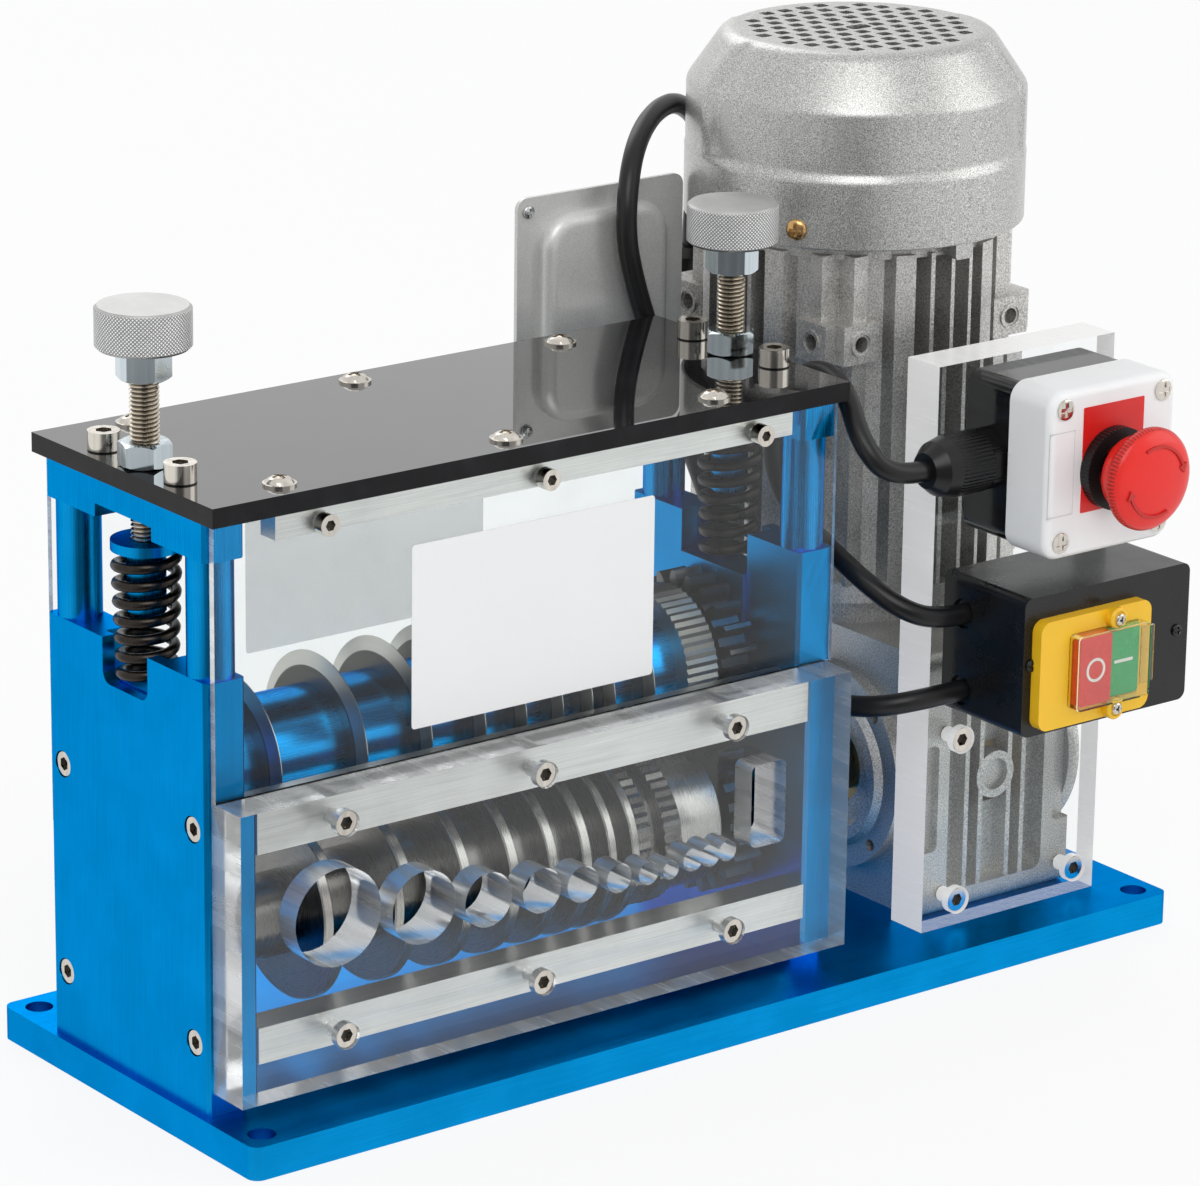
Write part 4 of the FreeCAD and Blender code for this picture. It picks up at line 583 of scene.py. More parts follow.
def slab(form, low, high, corner=0.0, along=1, segments=4):
    """A plate with its thickness along one axis. Without rounded corners, its vertices are given back."""
    size = Vector(high) - Vector(low)
    middle = (Vector(high) + Vector(low)) / 2
    made = bmesh.ops.create_cube(form, size=1.0)["verts"]
    bmesh.ops.scale(form, vec=size, verts=made)
    shift(form, middle, made)
    if corner:
        edges = {e for v in made for e in v.link_edges}
        kept = [e for e in edges if abs((e.verts[0].co - e.verts[1].co)[along]) > 0.5 * size[along]]
        bmesh.ops.bevel(
            form, geom=kept, offset=corner, segments=segments, profile=0.5, affect="EDGES", material=-1)
    return made


def stations(radius, slot_width, slot_reach):
    """Where the grid lines of a screw head run, so that its cross recess has upright walls."""
    wall = 0.08
    end = slot_reach + wall
    half = [0.0, slot_width, slot_width + wall, slot_reach, end]
    half += [end + (radius - end) * part for part in (0.2, 0.4, 0.6, 0.8, 1.0)]
    return [-v for v in reversed(half[1:])] + half


def pan_head(form, centre, axis, radius, height, slot_width, slot_reach, depth, flange=1.0):
    """A domed screw head with a cross recess, with its underside at the centre. The dome reaches to
    the given part of the radius, and a flat rim is left round it."""
    lines = stations(radius, slot_width, slot_reach)
    steps = len(lines) - 1
    made = bmesh.ops.create_grid(form, x_segments=steps, y_segments=steps, size=1.0)["verts"]
    for vert in made:
        x, y = [lines[round((v + 1.0) * steps / 2)] for v in vert.co.xy]
        widest = max(abs(x), abs(y))
        outside = max(0.0, (widest - slot_reach) / (radius - slot_reach))
        pull = 1.0 - outside * (1.0 - widest / max(math.hypot(x, y), 1e-6))
        x, y = x * pull, y * pull
        reach = min(math.hypot(x, y) / (radius * flange), 1.0)
        z = height * (0.26 + 0.74 * math.sqrt(1.0 - reach * reach))
        across = sorted((abs(x), abs(y)))
        if across[0] < slot_width + 0.01 and across[1] < slot_reach + 0.01:
            z = min(z, height - depth * (1.0 - 0.35 * across[1] / slot_reach))
        vert.co = (x, y, z)
    border = [e for e in {e for v in made for e in v.link_edges} if e.is_boundary]
    rim = bmesh.ops.extrude_edge_only(form, edges=border)["geom"]
    foot = [g for g in rim if isinstance(g, bmesh.types.BMVert)]
    for vert in foot:
        vert.co.z = 0.0
    edges = [g for g in rim if isinstance(g, bmesh.types.BMEdge) and all(v in foot for v in g.verts)]
    bmesh.ops.contextual_create(form, geom=edges)
    turn_to(form, made + foot, centre, axis)


def cross(form, centre, axis, slot_width, slot_reach):
    """A dark floor of painted shade at the bottom of a cross recess."""
    made = []
    for x, y in ((slot_width, slot_reach), (slot_reach, slot_width)):
        made += slab(form, (-x, -y, -0.1), (x, y, 0.1))
    turn_to(form, made, centre, axis)


def hexagon(form, across, height):
    """An upright hexagon prism about the origin."""
    reach = across / math.sqrt(3.0)
    return bmesh.ops.create_cone(
        form, cap_ends=True, segments=6, radius1=reach, radius2=reach, depth=height)["verts"]


def socket(form, centre, axis, key):
    """A dark floor of painted shade at the bottom of a hexagon socket."""
    turn_to(form, hexagon(form, key - SOCKET_PLAY, 0.3), centre, axis)


def helix_thread(form, centre, low, high, crest, root, pitch):
    """A V thread: a zigzag of one pitch carried up a helix."""
    profile = [(root, low), (crest, low + 0.42 * pitch), (crest, low + 0.58 * pitch), (root, low + pitch)]
    verts, edges = outline(form, profile)
    turns = int((high - low) / pitch) - 1
    sweep(form, verts + edges, 2 * math.pi * turns, TURN_STEPS * turns, pitch / TURN_STEPS)
    bmesh.ops.remove_doubles(form, verts=form.verts, dist=1e-4)
    shift(form, centre)


def coil_half(form, turns, low, high, wire, reaches):
    """Some turns of a spring whose radius grows from the first reach to the second as it climbs."""
    made = bmesh.ops.create_circle(form, segments=12, radius=wire)["verts"]
    upright = Matrix.Translation((reaches[0], 0, low)) @ Matrix.Rotation(math.pi / 2, 4, "X")
    bmesh.ops.transform(form, matrix=upright, verts=made)
    count = int(TURN_STEPS * turns)
    sweep(form, made + list(form.edges), 2 * math.pi * turns, count, (high - low) / count)
    bmesh.ops.holes_fill(form, edges=[e for e in form.edges if e.is_boundary], sides=0)
    for vert in form.verts:
        part = min(max((vert.co.z - low) / (high - low), 0.0), 1.0)
        grown = 1.0 + (reaches[1] - reaches[0]) * part / vert.co.xy.length
        vert.co.xy = vert.co.xy * grown


def hexagon_nut(form, centre, across, height, turn):
    """A nut with chamfered corners: a hexagon whose corners a ring of slanted planes cuts off."""
    swing(form, math.radians(turn), hexagon(form, across, height))
    cuts = 48
    for i in range(cuts):
        angle = 2 * math.pi * (i + 0.5) / cuts
        way = Vector((math.cos(angle), math.sin(angle), 0.0))
        for side in (-1, 1):
            cut = bmesh.ops.bisect_plane(
                form, geom=form.verts[:] + form.edges[:] + form.faces[:], dist=1e-5, clear_outer=True,
                plane_co=way * across * 0.47 + Vector((0, 0, side * height / 2)),
                plane_no=way * 0.5 + Vector((0, 0, side * 0.866)))
            rim = [g for g in cut["geom_cut"] if isinstance(g, bmesh.types.BMEdge)]
            if rim:
                bmesh.ops.contextual_create(form, geom=rim)
    shift(form, Vector(centre) + Vector((0, 0, height / 2)))


# Settings
def colour_setting(name, description, default):
    return bpy.props.FloatVectorProperty(
        name=name, description=description, subtype="COLOR", size=3, min=0.0, max=1.0, default=default)


class PanelSettings(bpy.types.PropertyGroup):
    tint: colour_setting("Tint", "Colour of the clear acrylic", (0.955, 0.975, 0.975))
    plate: colour_setting("Plate", "Colour of the plates on the windows", (0.84, 0.84, 0.84))


class FrameSettings(bpy.types.PropertyGroup):
    dye: colour_setting("Dye", "Colour of the anodised plates", (0.002, 0.285, 0.67))
    cover: colour_setting("Cover", "Colour of the glossy cover", (0.008, 0.008, 0.009))


class RollerSettings(bpy.types.PropertyGroup):
    steel: colour_setting("Steel", "Colour of the turned roller", (0.21, 0.20, 0.19))


class AdjusterSettings(bpy.types.PropertyGroup):
    pitch: bpy.props.FloatProperty(
        name="Thread pitch", description="Rise of the screw's thread in one turn, in mm",
        min=0.5, max=3.0, default=1.75)
    knurls: bpy.props.IntProperty(
        name="Knurls", description="Lines of knurling round each knob", min=20, max=160, default=76)


class DriveSettings(bpy.types.PropertyGroup):
    casting: colour_setting("Casting", "Colour of the bare castings", (0.62, 0.61, 0.59))
    paint: colour_setting("Paint", "Colour of the silver paint", (0.52, 0.52, 0.505))


class ControlSettings(bpy.types.PropertyGroup):
    red: colour_setting("Red", "Colour of the stop button", (0.82, 0.020, 0.014))
    green: colour_setting("Green", "Colour of the start button", (0.01, 0.36, 0.10))
    yellow: colour_setting("Yellow", "Colour of the switch's frame", (0.86, 0.50, 0.012))


class LeadSettings(bpy.types.PropertyGroup):
    diameter: bpy.props.FloatProperty(
        name="Diameter", description="Outer diameter of both leads, in mm", min=4.0, max=14.0, default=9.0)


class StageSettings(bpy.types.PropertyGroup):
    key: bpy.props.FloatProperty(
        name="Key light", description="Power of the main soft light", subtype="POWER",
        min=0.0, max=500.0, default=48.0)
    ambient: bpy.props.FloatProperty(
        name="Ambient", description="Strength of the light from all round", min=0.0, max=2.0, default=0.60)


# Operators, one for each group of pieces
class STRIPPER_OT_frame(bpy.types.Operator):
    """Dress the base, end plates, bridges, posts and the black cover"""

    bl_idname = "stripper.frame"
    bl_label = "Frame"

    def execute(self, context):
        settings = context.scene.stripper_frame
        dye = list(settings.dye)
        dress(anodised("blue_plates", dye), "left_end_plate", "right_end_plate", "bearing_blocks")
        dress(anodised("blue_base", dye, along=0), "base_plate")
        dress(anodised("blue_turned", dye, rough=0.26), "guide_posts", "bridges")
        dress(anodised("blue_caps", dye, rough=0.28), "left_spring_cap", "right_spring_cap")
        dress(glossy_cover(list(settings.cover)), "top_cover")
        bars = bare_metal("brushed_bars", (0.82, 0.81, 0.79), along=0, rough=0.34, fine=2200.0)
        dress(bars, "window_rails", "tie_bars")
        return {"FINISHED"}


class STRIPPER_OT_panels(bpy.types.Operator):
    """Dress the clear panels and add the pale plates that stick to the windows"""

    bl_idname = "stripper.panels"
    bl_label = "Clear panels"

    def execute(self, context):
        settings = context.scene.stripper_panels
        tint = list(settings.tint)
        dress(clear_sheet("clear_feed", tint, 0.34, (0.42, 0.66)), "feed_panel")
        dress(clear_sheet("clear_window", tint, 0.45, (0.55, 0.80), shine=0.4), "front_window", "rear_window")
        # The control plate's sawn edges and holes glow with painted light.
        dress(clear_sheet("clear_mount", tint, 0.98, (0.40, 0.43), 0.40, 0.6), "control_plate")
        left, right, low, high = -142.3, -22.7, 156.2, 231.8
        for name, side, alpha in (("front_plate", -1, 1.0), ("rear_plate", 1, 0.26)):
            form = bmesh.new()
            near, far = sorted((side * 59.02, side * 59.25))
            slab(form, (left, near, low), (right, far, high), 1.5)
            film = pale_film(name + "_film", list(settings.plate), alpha)
            piece(name, form, "frame", film)
        return {"FINISHED"}


class STRIPPER_OT_roller(bpy.types.Operator):
    """Dress the grooved roller, the blades, the gears and the bearings"""

    bl_idname = "stripper.roller"
    bl_label = "Roller and blades"

    def execute(self, context):
        steel = list(context.scene.stripper_roller.steel)
        dye = list(context.scene.stripper_frame.dye)
        low = (0.0, 0.0, ROLLER_Z)
        high = (0.0, 0.0, BLADE_Z)
        # The roller's ridge tops and its part right of x = 9 mm get a painted highlight.
        dress(turned_metal("turned_roller", steel, low, bright=(36.3, 9.0)), "feed_roller")
        dress(blade_finish("ground_blades", (0.66, 0.64, 0.60)), "blade_discs")
        # Painted light: the spacers get a lighter copy of the blue dye, for their bright highlights.
        dress(anodised("blue_spacers", [c * 1.25 for c in dye], along=0, rough=0.26), "blade_spacers")
        dress(turned_metal("turned_ring", (0.40, 0.385, 0.35), high, rough=0.42), "knurled_ring")
        dress(turned_metal("gear_steel", (0.17, 0.165, 0.16), low, rough=0.32), "feed_gear", "blade_gear")
        dress(turned_metal("shaft_steel", (0.40, 0.39, 0.37), high), "blade_shaft")
        bearing = turned_metal("bearing_steel", (0.62, 0.61, 0.60), low, rough=0.20)
        dress(bearing, "feed_bearings", "blade_bearings")
        dress(turned_metal("bronze_wheel", (0.55, 0.36, 0.14), low, rough=0.34), "worm_wheel")
        return {"FINISHED"}


class STRIPPER_OT_adjusters(bpy.types.Operator):
    """Dress the knobs, and add the springs and the threaded screws with their nuts"""

    bl_idname = "stripper.adjusters"
    bl_label = "Adjusters"

    def execute(self, context):
        settings = context.scene.stripper_adjusters
        wire = bare_metal("spring_wire", (0.042, 0.036, 0.032), fine=900.0, depth=0.2)
        zinc = bare_metal("zinc_nut", (0.60, 0.68, 0.72), rough=0.12, fine=300.0, depth=0.015)
        cover_nut_turn = {"left": 45.0, "right": 22.0}
        for side, x in ADJUST_X.items():
            knurl = knurled(side + "_knurl", (0.76, 0.745, 0.72), (x, 0.0, 320.0), settings.knurls)
            dress(knurl, side + "_knob")
            self.spring(side, x, wire)
            form = bmesh.new()
            helix_thread(form, (x, 0, 0), 211.0, 309.0, 5.95, 4.95, settings.pitch)
            core = [(0.0, 210.2), (5.0, 210.2), (5.05, 210.6), (5.05, 319.4), (0.0, 319.4)]
            revolve(form, core, 32, (x, 0, 0))
            nickel = threaded(side + "_nickel", (0.66, 0.59, 0.49), x)
            screw = side + "_adjusting_screw"
            piece(side + "_thread", form, side + "_adjuster", nickel, (screw,), sharp=24.0)
            form = bmesh.new()
            hexagon_nut(form, (x, 0, 299.0), 19.0, 12.0, 50.0)
            piece(side + "_knob_nut", form, side + "_adjuster", zinc, sharp=20.0)
            form = bmesh.new()
            hexagon_nut(form, (x, 0, COVER_TOP + 0.1), 19.0, 9.9, cover_nut_turn[side])
            nut = side + "_lock_nut"
            piece(side + "_cover_nut", form, side + "_nut", zinc, (nut,), sharp=20.0)
        return {"FINISHED"}

    def spring(self, side, x, wire):
        """The lower half is pressed by the bearing carriage and the upper half by the spring cap, though
        neither half is made to ride on them.
        """
        bottom_r, top_r = 10.3, 12.05
        middle_r = (bottom_r + top_r) / 2
        middle = (SPRING_LOW + SPRING_HIGH) / 2
        halves = (
            ("lower", SPRING_LOW, middle, (bottom_r, middle_r), "bearing_carriage", BLOCK_TOP),
            ("upper", middle, SPRING_HIGH, (middle_r, top_r), side + "_cap", CAP_UNDERSIDE))
        for half, low, high, reaches, body, end in halves:
            form = bmesh.new()
            coil_half(form, 3.5, low, high, 2.2, reaches)
            if half == "upper":
                swing(form, math.pi)
            shift(form, (x, 0, 0))
            name = "%s_spring_%s" % (side, half)
            made = piece(name, form, None, wire, (side + "_spring",), sharp=40.0)
            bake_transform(made)


class STRIPPER_OT_drive(bpy.types.Operator):
    """Dress the gearbox, motor, fan cover and terminal box"""

    bl_idname = "stripper.drive"
    bl_label = "Motor and gearbox"

    def execute(self, context):
        settings = context.scene.stripper_drive
        casting = list(settings.casting)
        dress(cast_metal("gearbox_casting", casting), "gearbox_housing", "gearbox_covers", "input_flange")
        dress(cast_metal("motor_casting", casting, rough=0.40), "motor_housing", "motor_end_shield")
        self.fan_cover(silver_paint("silver_paint", list(settings.paint)))
        # Painted light: the terminal lid and box get a lighter copy of the silver paint.
        lid = [c * 1.25 for c in settings.paint]
        dress(silver_paint("lid_paint", lid, 0.25, 0.30, 0.45), "terminal_lid", "terminal_box")
        dress(turned_metal("rotor_steel", (0.40, 0.39, 0.38), (*MOTOR_AXIS, 0.0)), "rotor_shaft", "worm")
        dress(plastic("fan_plastic", (0.02, 0.02, 0.022), rough=0.5), "cooling_fan")
        self.small_screws()
        return {"FINISHED"}

    def small_screws(self):
        """The brass screw in the fan cover's side, and two screws in the terminal lid."""
        brass = bare_metal("brassy_screw", (0.62, 0.38, 0.16), rough=0.25)
        form = bmesh.new()
        pan_head(form, (73.4, 0, 308.0), "X", 4.6, 2.6, 0.6, 2.7, 1.5)
        swing(form, math.radians(-149.0))
        shift(form, (*MOTOR_AXIS, 0.0))
        piece("cover_side_screw", form, "frame", brass, sharp=24.0)
        form = bmesh.new()
        for x, z in ((21.5, 312.5), (99.0, 220.0)):
            pan_head(form, (x, 85.9, z), "-Y", 2.9, 1.9, 0.45, 1.8, 0.8)
        steel = bare_metal("lid_screw_steel", (0.55, 0.56, 0.56), rough=0.25)
        piece("lid_screws", form, "frame", steel, sharp=24.0)

    def fan_cover(self, paint):
        """The pressed cover with its soft shoulders, two raised pads, two tabs and the air holes."""
        outside = [
            (73.0, 300.0), (73.5, 300.6), (73.5, 327.6), (73.3, 328.9), (72.8, 330.0), (72.0, 331.3),
            (71.6, 332.4), (71.5, 333.6), (71.5, 356.0), (71.3, 357.5), (70.8, 358.7), (69.9, 360.2),
            (58.4, 377.0), (57.2, 378.5), (55.4, 379.8), (53.0, 380.4), (51.0, 380.5), (0.0, 380.5)]
        inside = [
            (0.0, 378.9), (53.0, 378.9), (69.9, 354.8), (69.9, 334.6), (71.9, 326.0), (71.9, 300.0),
            (73.0, 300.0)]
        form = bmesh.new()
        revolve(form, outside + inside, 180)
        for vert in form.verts:
            self.raise_pads(vert)
        for y in (-72.9, 67.0):
            slab(form, (-4.5, y, 293.5), (4.5, y + 5.9, 304.0), 1.5)
        axis = (*MOTOR_AXIS, 0.0)
        shift(form, axis)
        cover = piece("fan_cover_shell", form, "frame", paint, ("fan_cover",), sharp=38.0)
        self.air_holes(cover, axis)

    def raise_pads(self, vert):
        """Lets two opposite sides of the cover stand out by a soft-edged step."""
        reach = vert.co.xy.length
        foot, half_width, edge, height = 328.0, 27.6, 3.6, 1.7
        if reach < 40.0 or vert.co.z < foot:
            return
        for middle in (148.0, -32.0):
            turn = math.atan2(vert.co.y, vert.co.x) - math.radians(middle)
            if math.cos(turn) > 0:
                across = min(max((half_width - abs(reach * math.sin(turn))) / edge, 0.0), 1.0)
                upward = min((vert.co.z - foot) / 5.0, 1.0)
                rise = height * across * across * (3.0 - 2.0 * across) * upward
                vert.co.xy = vert.co.xy * (1.0 + rise / reach)

    def air_holes(self, cover, axis):
        """Cuts the staggered holes through the top."""
        form = bmesh.new()
        step, widest, half, low, high = 10.0, 48.0, 2.9, 376.0, 383.0
        rise = step * math.sqrt(3.0) / 2
        for row in range(-5, 6):
            for column in range(-5, 6):
                x, y = column * step + (0.5 * step if row % 2 else 0.0), row * rise
                if 0.5 * step < math.hypot(x, y) < widest:
                    slab(form, (x - half, y - half, low), (x + half, y + half, high), 1.1, along=2, segments=2)
        slab(form, (-5.5, -3.6, low), (5.5, 3.6, high), 2.4, along=2)
        shift(form, axis)
        bmesh.ops.scale(form, vec=(MM, MM, MM), verts=form.verts)
        cutter = new_object("air_holes", form)
        cut = cover.modifiers.new("air_holes", "BOOLEAN")
        cut.operation = "DIFFERENCE"
        cut.solver = "EXACT"
        cut.object = cutter
        state = bpy.context.evaluated_depsgraph_get()
        holed = bpy.data.meshes.new_from_object(cover.evaluated_get(state))
        cover.modifiers.clear()
        cover.data = holed
        smooth_mesh(holed, 38.0)
        bpy.data.objects.remove(cutter)


class STRIPPER_OT_fasteners(bpy.types.Operator):
    """Dress the socket screws and replace the pan heads by ones with a cross recess"""

    bl_idname = "stripper.fasteners"
    bl_label = "Fasteners"

    def execute(self, context):
        nickel = bare_metal("nickel_screws", (0.66, 0.62, 0.56), rough=0.16, fine=420.0, depth=0.05)
        dress(nickel, "cap_screws")
        # The cap screws get painted shade at their foot, where they stand on the cover.
        footed = bare_metal(
            "nickel_caps", (0.70, 0.66, 0.59), rough=0.15, fine=420.0, depth=0.05, foot=COVER_TOP)
        dress(footed, "bridge_cap_screws")
        form = bmesh.new()
        floors = bmesh.new()
        for x in (HEAD_X - 117.0, HEAD_X - 9.5, HEAD_X + 95.0):
            for y in (-51.5, 51.5):
                pan_head(form, (x, y, COVER_TOP), "Z", 6.7, 3.7, 0.8, 3.1, 2.0, 0.82)
                # Painted shade: a dark floor at the bottom of the cross recess.
                cross(floors, (x, y, COVER_TOP + 1.85), "Z", 0.8, 3.1)
        for x in (STOP_AXIS[0] - 27.0, STOP_AXIS[0] + 27.0):
            for z in (STOP_AXIS[1] - 28.5, STOP_AXIS[1] + 28.5):
                pan_head(form, (x, STOP_FRONT - 0.02, z), "-Y", 4.4, 1.2, 0.9, 3.0, 0.7, 1.1)
        for z in (BUTTON_Z + 19.5, BUTTON_Z - 19.5):
            pan_head(form, (SWITCH_X, SWITCH_FRONT, z), "-Y", 2.6, 1.6, 0.42, 1.7, 0.9)
            # Painted shade: a dark floor at the bottom of the cross recess.
            cross(floors, (SWITCH_X, SWITCH_FRONT - 0.75, z), "-Y", 0.42, 1.7)
        piece("crossed_screws", form, "frame", nickel, ("pan_head_screws",), sharp=24.0)
        self.sockets(floors)
        return {"FINISHED"}

    def sockets(self, form):
        """Painted shade: dark floors at the bottom of each socket and recess."""
        for side in (-1, 1):
            for y in (-27.0, 27.0):
                socket(form, (HEAD_X + side * 146.0, y, COVER_TOP + 4.6), "Z", 6.0)
            for y in (-46.5, 46.5):
                for z in (131.0, 42.5):
                    socket(form, (HEAD_X + side * 152.0, y, z), "X", 5.0)
            for x in (-184.0, -78.0, 30.5):
                socket(form, (x, side * 62.0, 248.5), "Y", 4.0)
        for xs, y, zs in (((-184.5, -88.0, 9.5), -72.6, (131.0, 42.5)), ((140.0, 207.0), -63.6, (24.5, 97.0))):
            for x in xs:
                for z in zs:
                    socket(form, (x, y, z), "Y", 5.0)
        # Painted shade: one dark material for every socket and recess floor.
        shade = bare_metal("socket_shade", (0.075, 0.070, 0.063), rough=0.45)
        piece("socket_shade_floors", form, "frame", shade)


class STRIPPER_OT_controls(bpy.types.Operator):
    """Dress the stop button and the switch, and add their marks"""

    bl_idname = "stripper.controls"
    bl_label = "Controls"

    def execute(self, context):
        settings = context.scene.stripper_controls
        red = list(settings.red)
        self.boxes((0.006, 0.006, 0.0065))
        self.stop_head(red)
        self.switch(red, list(settings.green), list(settings.yellow))
        self.stop_marks(red)
        return {"FINISHED"}

    def boxes(self, black):
        """Both boxes with their small screws, and grey lines of painted shade for the shallow outline moulded
        in the white cover.
        """
        stop_axis = (STOP_AXIS[0], 0.0, STOP_AXIS[1])
        dress(plastic("box_black", black, rough=0.28, coat=0.10, gloss=0.32), "control_box")
        dress(plastic("stop_black", black, rough=0.14, depth=0.02, coat=0.3, gloss=0.3), "estop_base")
        dress(serrated("gland_black", black, GLAND, 0, 48, depth=0.0006, rim=12.9), "cable_glands")
        dress(serrated("collar_black", black, stop_axis, 1, 60, rough=0.4, rim=17.0), "estop_collar")
        dress(plastic("stop_white", (0.84, 0.84, 0.84), rough=0.32, depth=0.03, varied=0.02), "estop_cover")
        dress(plastic("stem_black", black), "estop_stem")
        form = bmesh.new()
        for x in (SWITCH_X - 40.5, SWITCH_X + 41.5):
            pan_head(form, (x, -117.6, 146.0), "-Y", 2.7, 1.5, 0.45, 1.8, 0.8)
        dark = bare_metal("dark_screws", (0.05, 0.05, 0.05), fine=420.0)
        piece("box_face_screws", form, "frame", dark, sharp=24.0)
        form = bmesh.new()
        low, high = Vector((134.0, STOP_FRONT - 0.12, 209.0)), Vector((148.0, STOP_FRONT + 0.1, 245.0))
        width = 0.35
        for x in (low.x, high.x - width):
            slab(form, (x, low.y, low.z), (x + width, high.y, high.z))
        for z in (low.z, high.z - width):
            slab(form, (low.x, low.y, z), (high.x, high.y, z + width))
        # Painted shade: grey lines stand in for the shade in the shallow moulded outline.
        grey = plastic("outline_grey", (0.62, 0.63, 0.64), rough=0.4)
        piece("cover_outline", form, "frame", grey)

    def stop_head(self, red):
        """The flared head of the stop button, hollow behind so that the collar goes into it."""
        profile = [
            (0.0, 18.1), (7.2, 18.1), (7.2, 10.5), (15.3, 10.5), (15.8, 11.0), (16.0, 13.5), (16.5, 15.6),
            (17.6, 17.6), (19.2, 19.2), (20.6, 20.1), (21.3, 20.5), (21.75, 21.1), (21.8, 22.8),
            (21.4, 23.8), (20.6, 24.9), (19.0, 26.0), (16.0, 27.0), (12.0, 27.8), (7.0, 28.35),
            (3.0, 28.5), (0.0, 28.5)]
        form = bmesh.new()
        revolve(form, profile, 84, (STOP_AXIS[0], STOP_FRONT, STOP_AXIS[1]), "-Y")
        stop_axis = (STOP_AXIS[0], 0.0, STOP_AXIS[1])
        ribbed = serrated("stop_red", red, stop_axis, 1, 84, rough=0.34, depth=0.0006, rim=20.9, coat=0.15)
        piece("stop_head", form, "stop_button", ribbed, ("estop_mushroom",), sharp=50.0)

    def switch(self, red, green, yellow):
        """The switch's frame, bosses and hood, and the two buttons with a ring and a bar."""
        dress(plastic("switch_yellow", yellow, rough=0.34, depth=0.05, varied=0.04), "switch_frame")
        dress(plastic("button_red", [red[0] * 0.85, red[1], red[2]], rough=0.28, depth=0.03), "red_button")
        dress(plastic("button_green", green, rough=0.28, depth=0.03), "green_button")
        dress(clear_sheet("clear_hood", (0.93, 0.90, 0.82)), "switch_hood")
        form = bmesh.new()
        boss = [(3.1, 0.0), (4.7, 0.0), (4.7, 3.4), (4.1, 4.0), (3.1, 4.0), (3.1, 0.0)]
        for z in (BUTTON_Z + 19.8, BUTTON_Z - 19.8):
            revolve(form, boss, 40, (SWITCH_X, SWITCH_FRONT + 4.0, z), "-Y")
        bosses = plastic("boss_yellow", yellow, rough=0.34, depth=0.05, varied=0.04)
        piece("screw_bosses", form, "frame", bosses)
        white = plastic("mark_white", (0.80, 0.80, 0.80), rough=0.4)
        form = bmesh.new()
        ring = [(4.0, 0.0), (5.2, 0.0), (5.2, 0.2), (4.0, 0.2), (4.0, 0.0)]
        revolve(form, ring, 40, (RED_X, SWITCH_FRONT, BUTTON_Z), "-Y")
        piece("ring_mark", form, "stop_red", white)
        form = bmesh.new()
        low = (GREEN_X - 5.2, SWITCH_FRONT + 2.8, BUTTON_Z - 0.65)
        slab(form, low, (GREEN_X + 5.2, SWITCH_FRONT + 3.0, BUTTON_Z + 0.65), 0.3)
        piece("bar_mark", form, "start_green", white)

    def stop_marks(self, red):
        """The plate behind the stop button, and two curved arrows in low relief that show which
        way the button turns to let go."""
        form = bmesh.new()
        slab(form, (152.3, STOP_FRONT - 0.3, 208.6), (185.7, STOP_FRONT + 0.05, 253.6), 0.4)
        paint = plastic("plate_red", [red[0] * 0.8, red[1] * 0.4, red[2] * 0.4], rough=0.35, depth=0.02)
        piece("stop_plate", form, "frame", paint)
        form = bmesh.new()
        sunk, height = 26.2, 1.9
        for start in (20.0, 200.0):
            root, tip = math.radians(start), math.radians(start - 14.0)
            places = ((14.2, root), (15.4, root), (14.8, tip), (12.6, root), (17.0, root))
            verts = [form.verts.new((r * math.cos(a), r * math.sin(a), sunk)) for r, a in places]
            edge = form.edges.new(verts[:2])
            sweep(form, verts[:2] + [edge], math.radians(95.0), 16)
            form.faces.new(verts[2:])
        raised = bmesh.ops.extrude_face_region(form, geom=list(form.faces))["geom"]
        shift(form, (0, 0, height), [g for g in raised if isinstance(g, bmesh.types.BMVert)])
        turn_to(form, list(form.verts), (STOP_AXIS[0], STOP_FRONT, STOP_AXIS[1]), "-Y")
        paint = plastic("arrow_red", [red[0] * 0.62, red[1] * 0.6, red[2] * 0.6], rough=0.4)
        piece("twist_arrows", form, "stop_button", paint)


class STRIPPER_OT_leads(bpy.types.Operator):
    """Lay the two leads along their routes"""

    bl_idname = "stripper.leads"
    bl_label = "Leads"

    def execute(self, context):
        diameter = context.scene.stripper_leads.diameter * MM
        rubber = plastic("lead_rubber", (0.007, 0.007, 0.008), rough=0.34, grain=2200.0, gloss=0.32)
        for node, (route, length) in LEADS.items():
            curve = bpy.data.curves.new(node + "_line", "CURVE")
            curve.dimensions = "3D"
            curve.bevel_depth = diameter / 2
            curve.bevel_resolution = 6
            curve.resolution_u = 10
            curve.use_fill_caps = True
            spline = curve.splines.new("NURBS")
            spline.points.add(len(route) - 1)
            for point, place in zip(spline.points, route):
                point.co = (*place, 1.0)
            spline.order_u = 3
            spline.use_endpoint_u = True
            made = bpy.data.objects.new(node + "_cord", curve)
            context.scene.collection.objects.link(made)
            made.data.materials.append(rubber)
            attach(made, "frame")
            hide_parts(node)
        return {"FINISHED"}


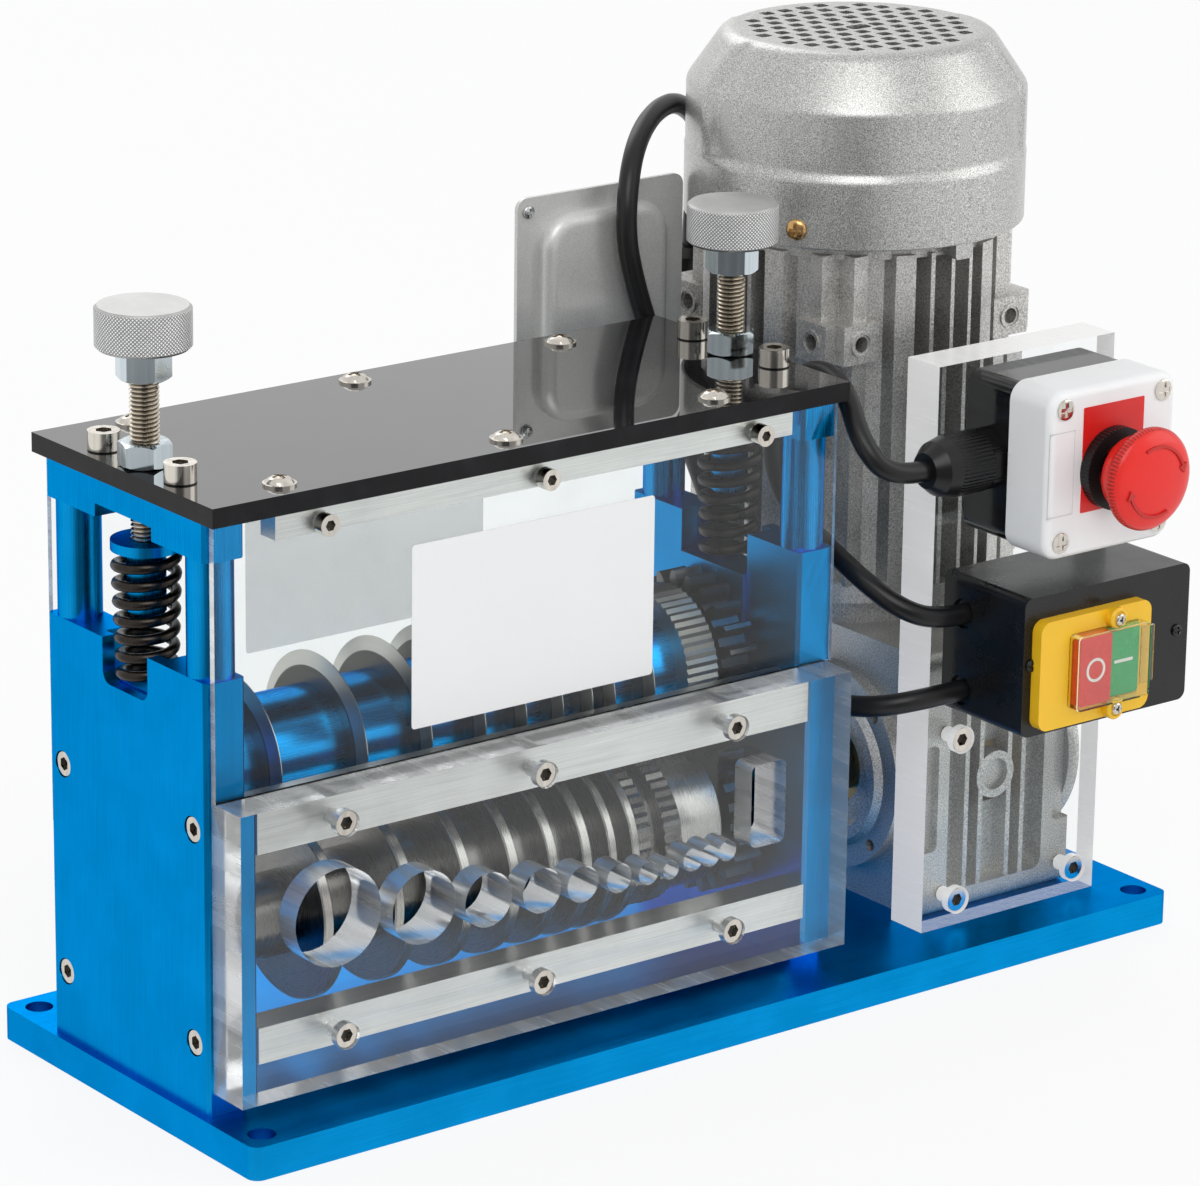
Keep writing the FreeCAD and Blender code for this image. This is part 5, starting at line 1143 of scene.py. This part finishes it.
class STRIPPER_OT_stage(bpy.types.Operator):
    """Set up the floor, the soft lights and the camera"""

    bl_idname = "stripper.stage"
    bl_label = "Stage"

    def execute(self, context):
        settings = context.scene.stripper_stage
        scene = context.scene
        self.floor()
        scene.world = self.world(settings.ambient)
        self.light("key", (-1.6, -2.2, 2.6), 2.2, settings.key)
        self.light("fill", (2.2, -1.6, 1.4), 2.0, settings.key * 0.40)
        self.light("back", (0.6, 2.4, 2.2), 2.0, settings.key * 0.40)
        data = bpy.data.cameras.new("camera")
        data.sensor_fit = "HORIZONTAL"
        data.sensor_width = 36.0
        data.lens = 167.11
        data.clip_end = 20.0
        camera = bpy.data.objects.new("camera", data)
        camera.location = (-1.34658, -1.73639, 0.87349)
        camera.rotation_euler = [math.radians(a) for a in (72.2651, -0.7268, -37.4771)]
        scene.collection.objects.link(camera)
        scene.camera = camera
        scene.view_settings.view_transform = "Standard"
        return {"FINISHED"}

    def floor(self):
        """A wide pale floor. Gloss sees it white, with one dark card before the front left corner."""
        form = bmesh.new()
        bmesh.ops.create_grid(form, x_segments=1, y_segments=1, size=4.0)
        made = new_object("floor", form)
        finish = Finish("floor_white")
        point = finish.point()
        shade = finish.blend(finish.noise(point, 3.0, 2.0), (0.86, 0.86, 0.86), (0.90, 0.90, 0.90))
        matt = finish.surface(base_color=shade, roughness=0.7)
        x, y = finish.axes(point)[:2]
        ahead = (x * -0.618 + y * -0.786).eased(0.22, 0.45)
        aside = abs(x * 0.786 + y * -0.618).eased(0.22, 0.70)
        card = ahead * (1.0 - aside) * finish.rays("Glossy") * (1.0 - finish.rays("Camera", "Transmission"))
        tone = finish.blend(card, (1.0, 1.0, 1.0), (0.04, 0.04, 0.045))
        glow = finish.node("ShaderNodeEmission", None, {"Color": tone, "Strength": 1.0})
        seen = finish.rays("Camera", "Glossy", "Transmission")
        made.data.materials.append(finish.done(
            finish.node("ShaderNodeMixShader", None, [seen * 0.85, matt, glow])))

    def world(self, ambient):
        """An even pale studio. Gloss sees it white, with one dark card before the front left corner."""
        finish = Finish("studio", world=True)
        way = finish.node("ShaderNodeTexCoord", output="Generated")
        toward = finish.node(
            "ShaderNodeVectorMath", {"operation": "DOT_PRODUCT"}, [way, (-0.59, -0.75, 0.28)], "Value")
        seen = finish.blend(toward.eased(0.80, 0.97), (1.0, 1.0, 1.0), (0.16, 0.16, 0.17))
        lights = (((0.97, 0.985, 1.0, 1.0), ambient), (seen, 0.95), ((1.0, 1.0, 1.0, 1.0), 1.0))
        lit, glossy, white = [
            finish.node("ShaderNodeBackground", None, {"Color": colour, "Strength": strength})
            for colour, strength in lights]
        inner = finish.node("ShaderNodeMixShader", None, [finish.rays("Glossy"), lit, glossy])
        direct = finish.rays("Camera", "Transmission")
        return finish.done(finish.node("ShaderNodeMixShader", None, [direct, inner, white]))

    def light(self, name, place, size, power):
        data = bpy.data.lights.new(name, "AREA")
        data.shape = "SQUARE"
        data.size = size
        data.energy = power
        made = bpy.data.objects.new(name, data)
        made.location = place
        made.rotation_euler = (Vector((0, 0, 0.15)) - Vector(place)).to_track_quat("-Z", "Y").to_euler()
        bpy.context.scene.collection.objects.link(made)


OPERATORS = (
    STRIPPER_OT_stage, STRIPPER_OT_leads, STRIPPER_OT_frame, STRIPPER_OT_panels, STRIPPER_OT_roller,
    STRIPPER_OT_adjusters, STRIPPER_OT_drive, STRIPPER_OT_fasteners, STRIPPER_OT_controls,
)
SETTINGS = {
    "stripper_stage": StageSettings, "stripper_leads": LeadSettings, "stripper_frame": FrameSettings,
    "stripper_panels": PanelSettings, "stripper_roller": RollerSettings,
    "stripper_adjusters": AdjusterSettings, "stripper_drive": DriveSettings,
    "stripper_controls": ControlSettings,
}


class STRIPPER_PT_panel(bpy.types.Panel):
    """Lists the steps that dress the machine"""

    bl_label = "Wire stripper"
    bl_idname = "STRIPPER_PT_panel"
    bl_space_type = "VIEW_3D"
    bl_region_type = "UI"
    bl_category = "Wire stripper"

    def draw(self, context):
        for operator in OPERATORS:
            self.layout.operator(operator.bl_idname)


def register():
    for group in SETTINGS.values():
        bpy.utils.register_class(group)
    for name, group in SETTINGS.items():
        setattr(bpy.types.Scene, name, bpy.props.PointerProperty(type=group))
    for operator in OPERATORS:
        bpy.utils.register_class(operator)
    bpy.utils.register_class(STRIPPER_PT_panel)


def unregister():
    bpy.utils.unregister_class(STRIPPER_PT_panel)
    for operator in reversed(OPERATORS):
        bpy.utils.unregister_class(operator)
    for name, group in SETTINGS.items():
        delattr(bpy.types.Scene, name)
        bpy.utils.unregister_class(group)


def main():
    register()
    bpy.ops.stripper.stage()
    bpy.ops.stripper.leads()
    bpy.ops.stripper.frame()
    bpy.ops.stripper.panels()
    bpy.ops.stripper.roller()
    bpy.ops.stripper.adjusters()
    bpy.ops.stripper.drive()
    bpy.ops.stripper.fasteners()
    bpy.ops.stripper.controls()


if __name__ == "__main__":
    main()
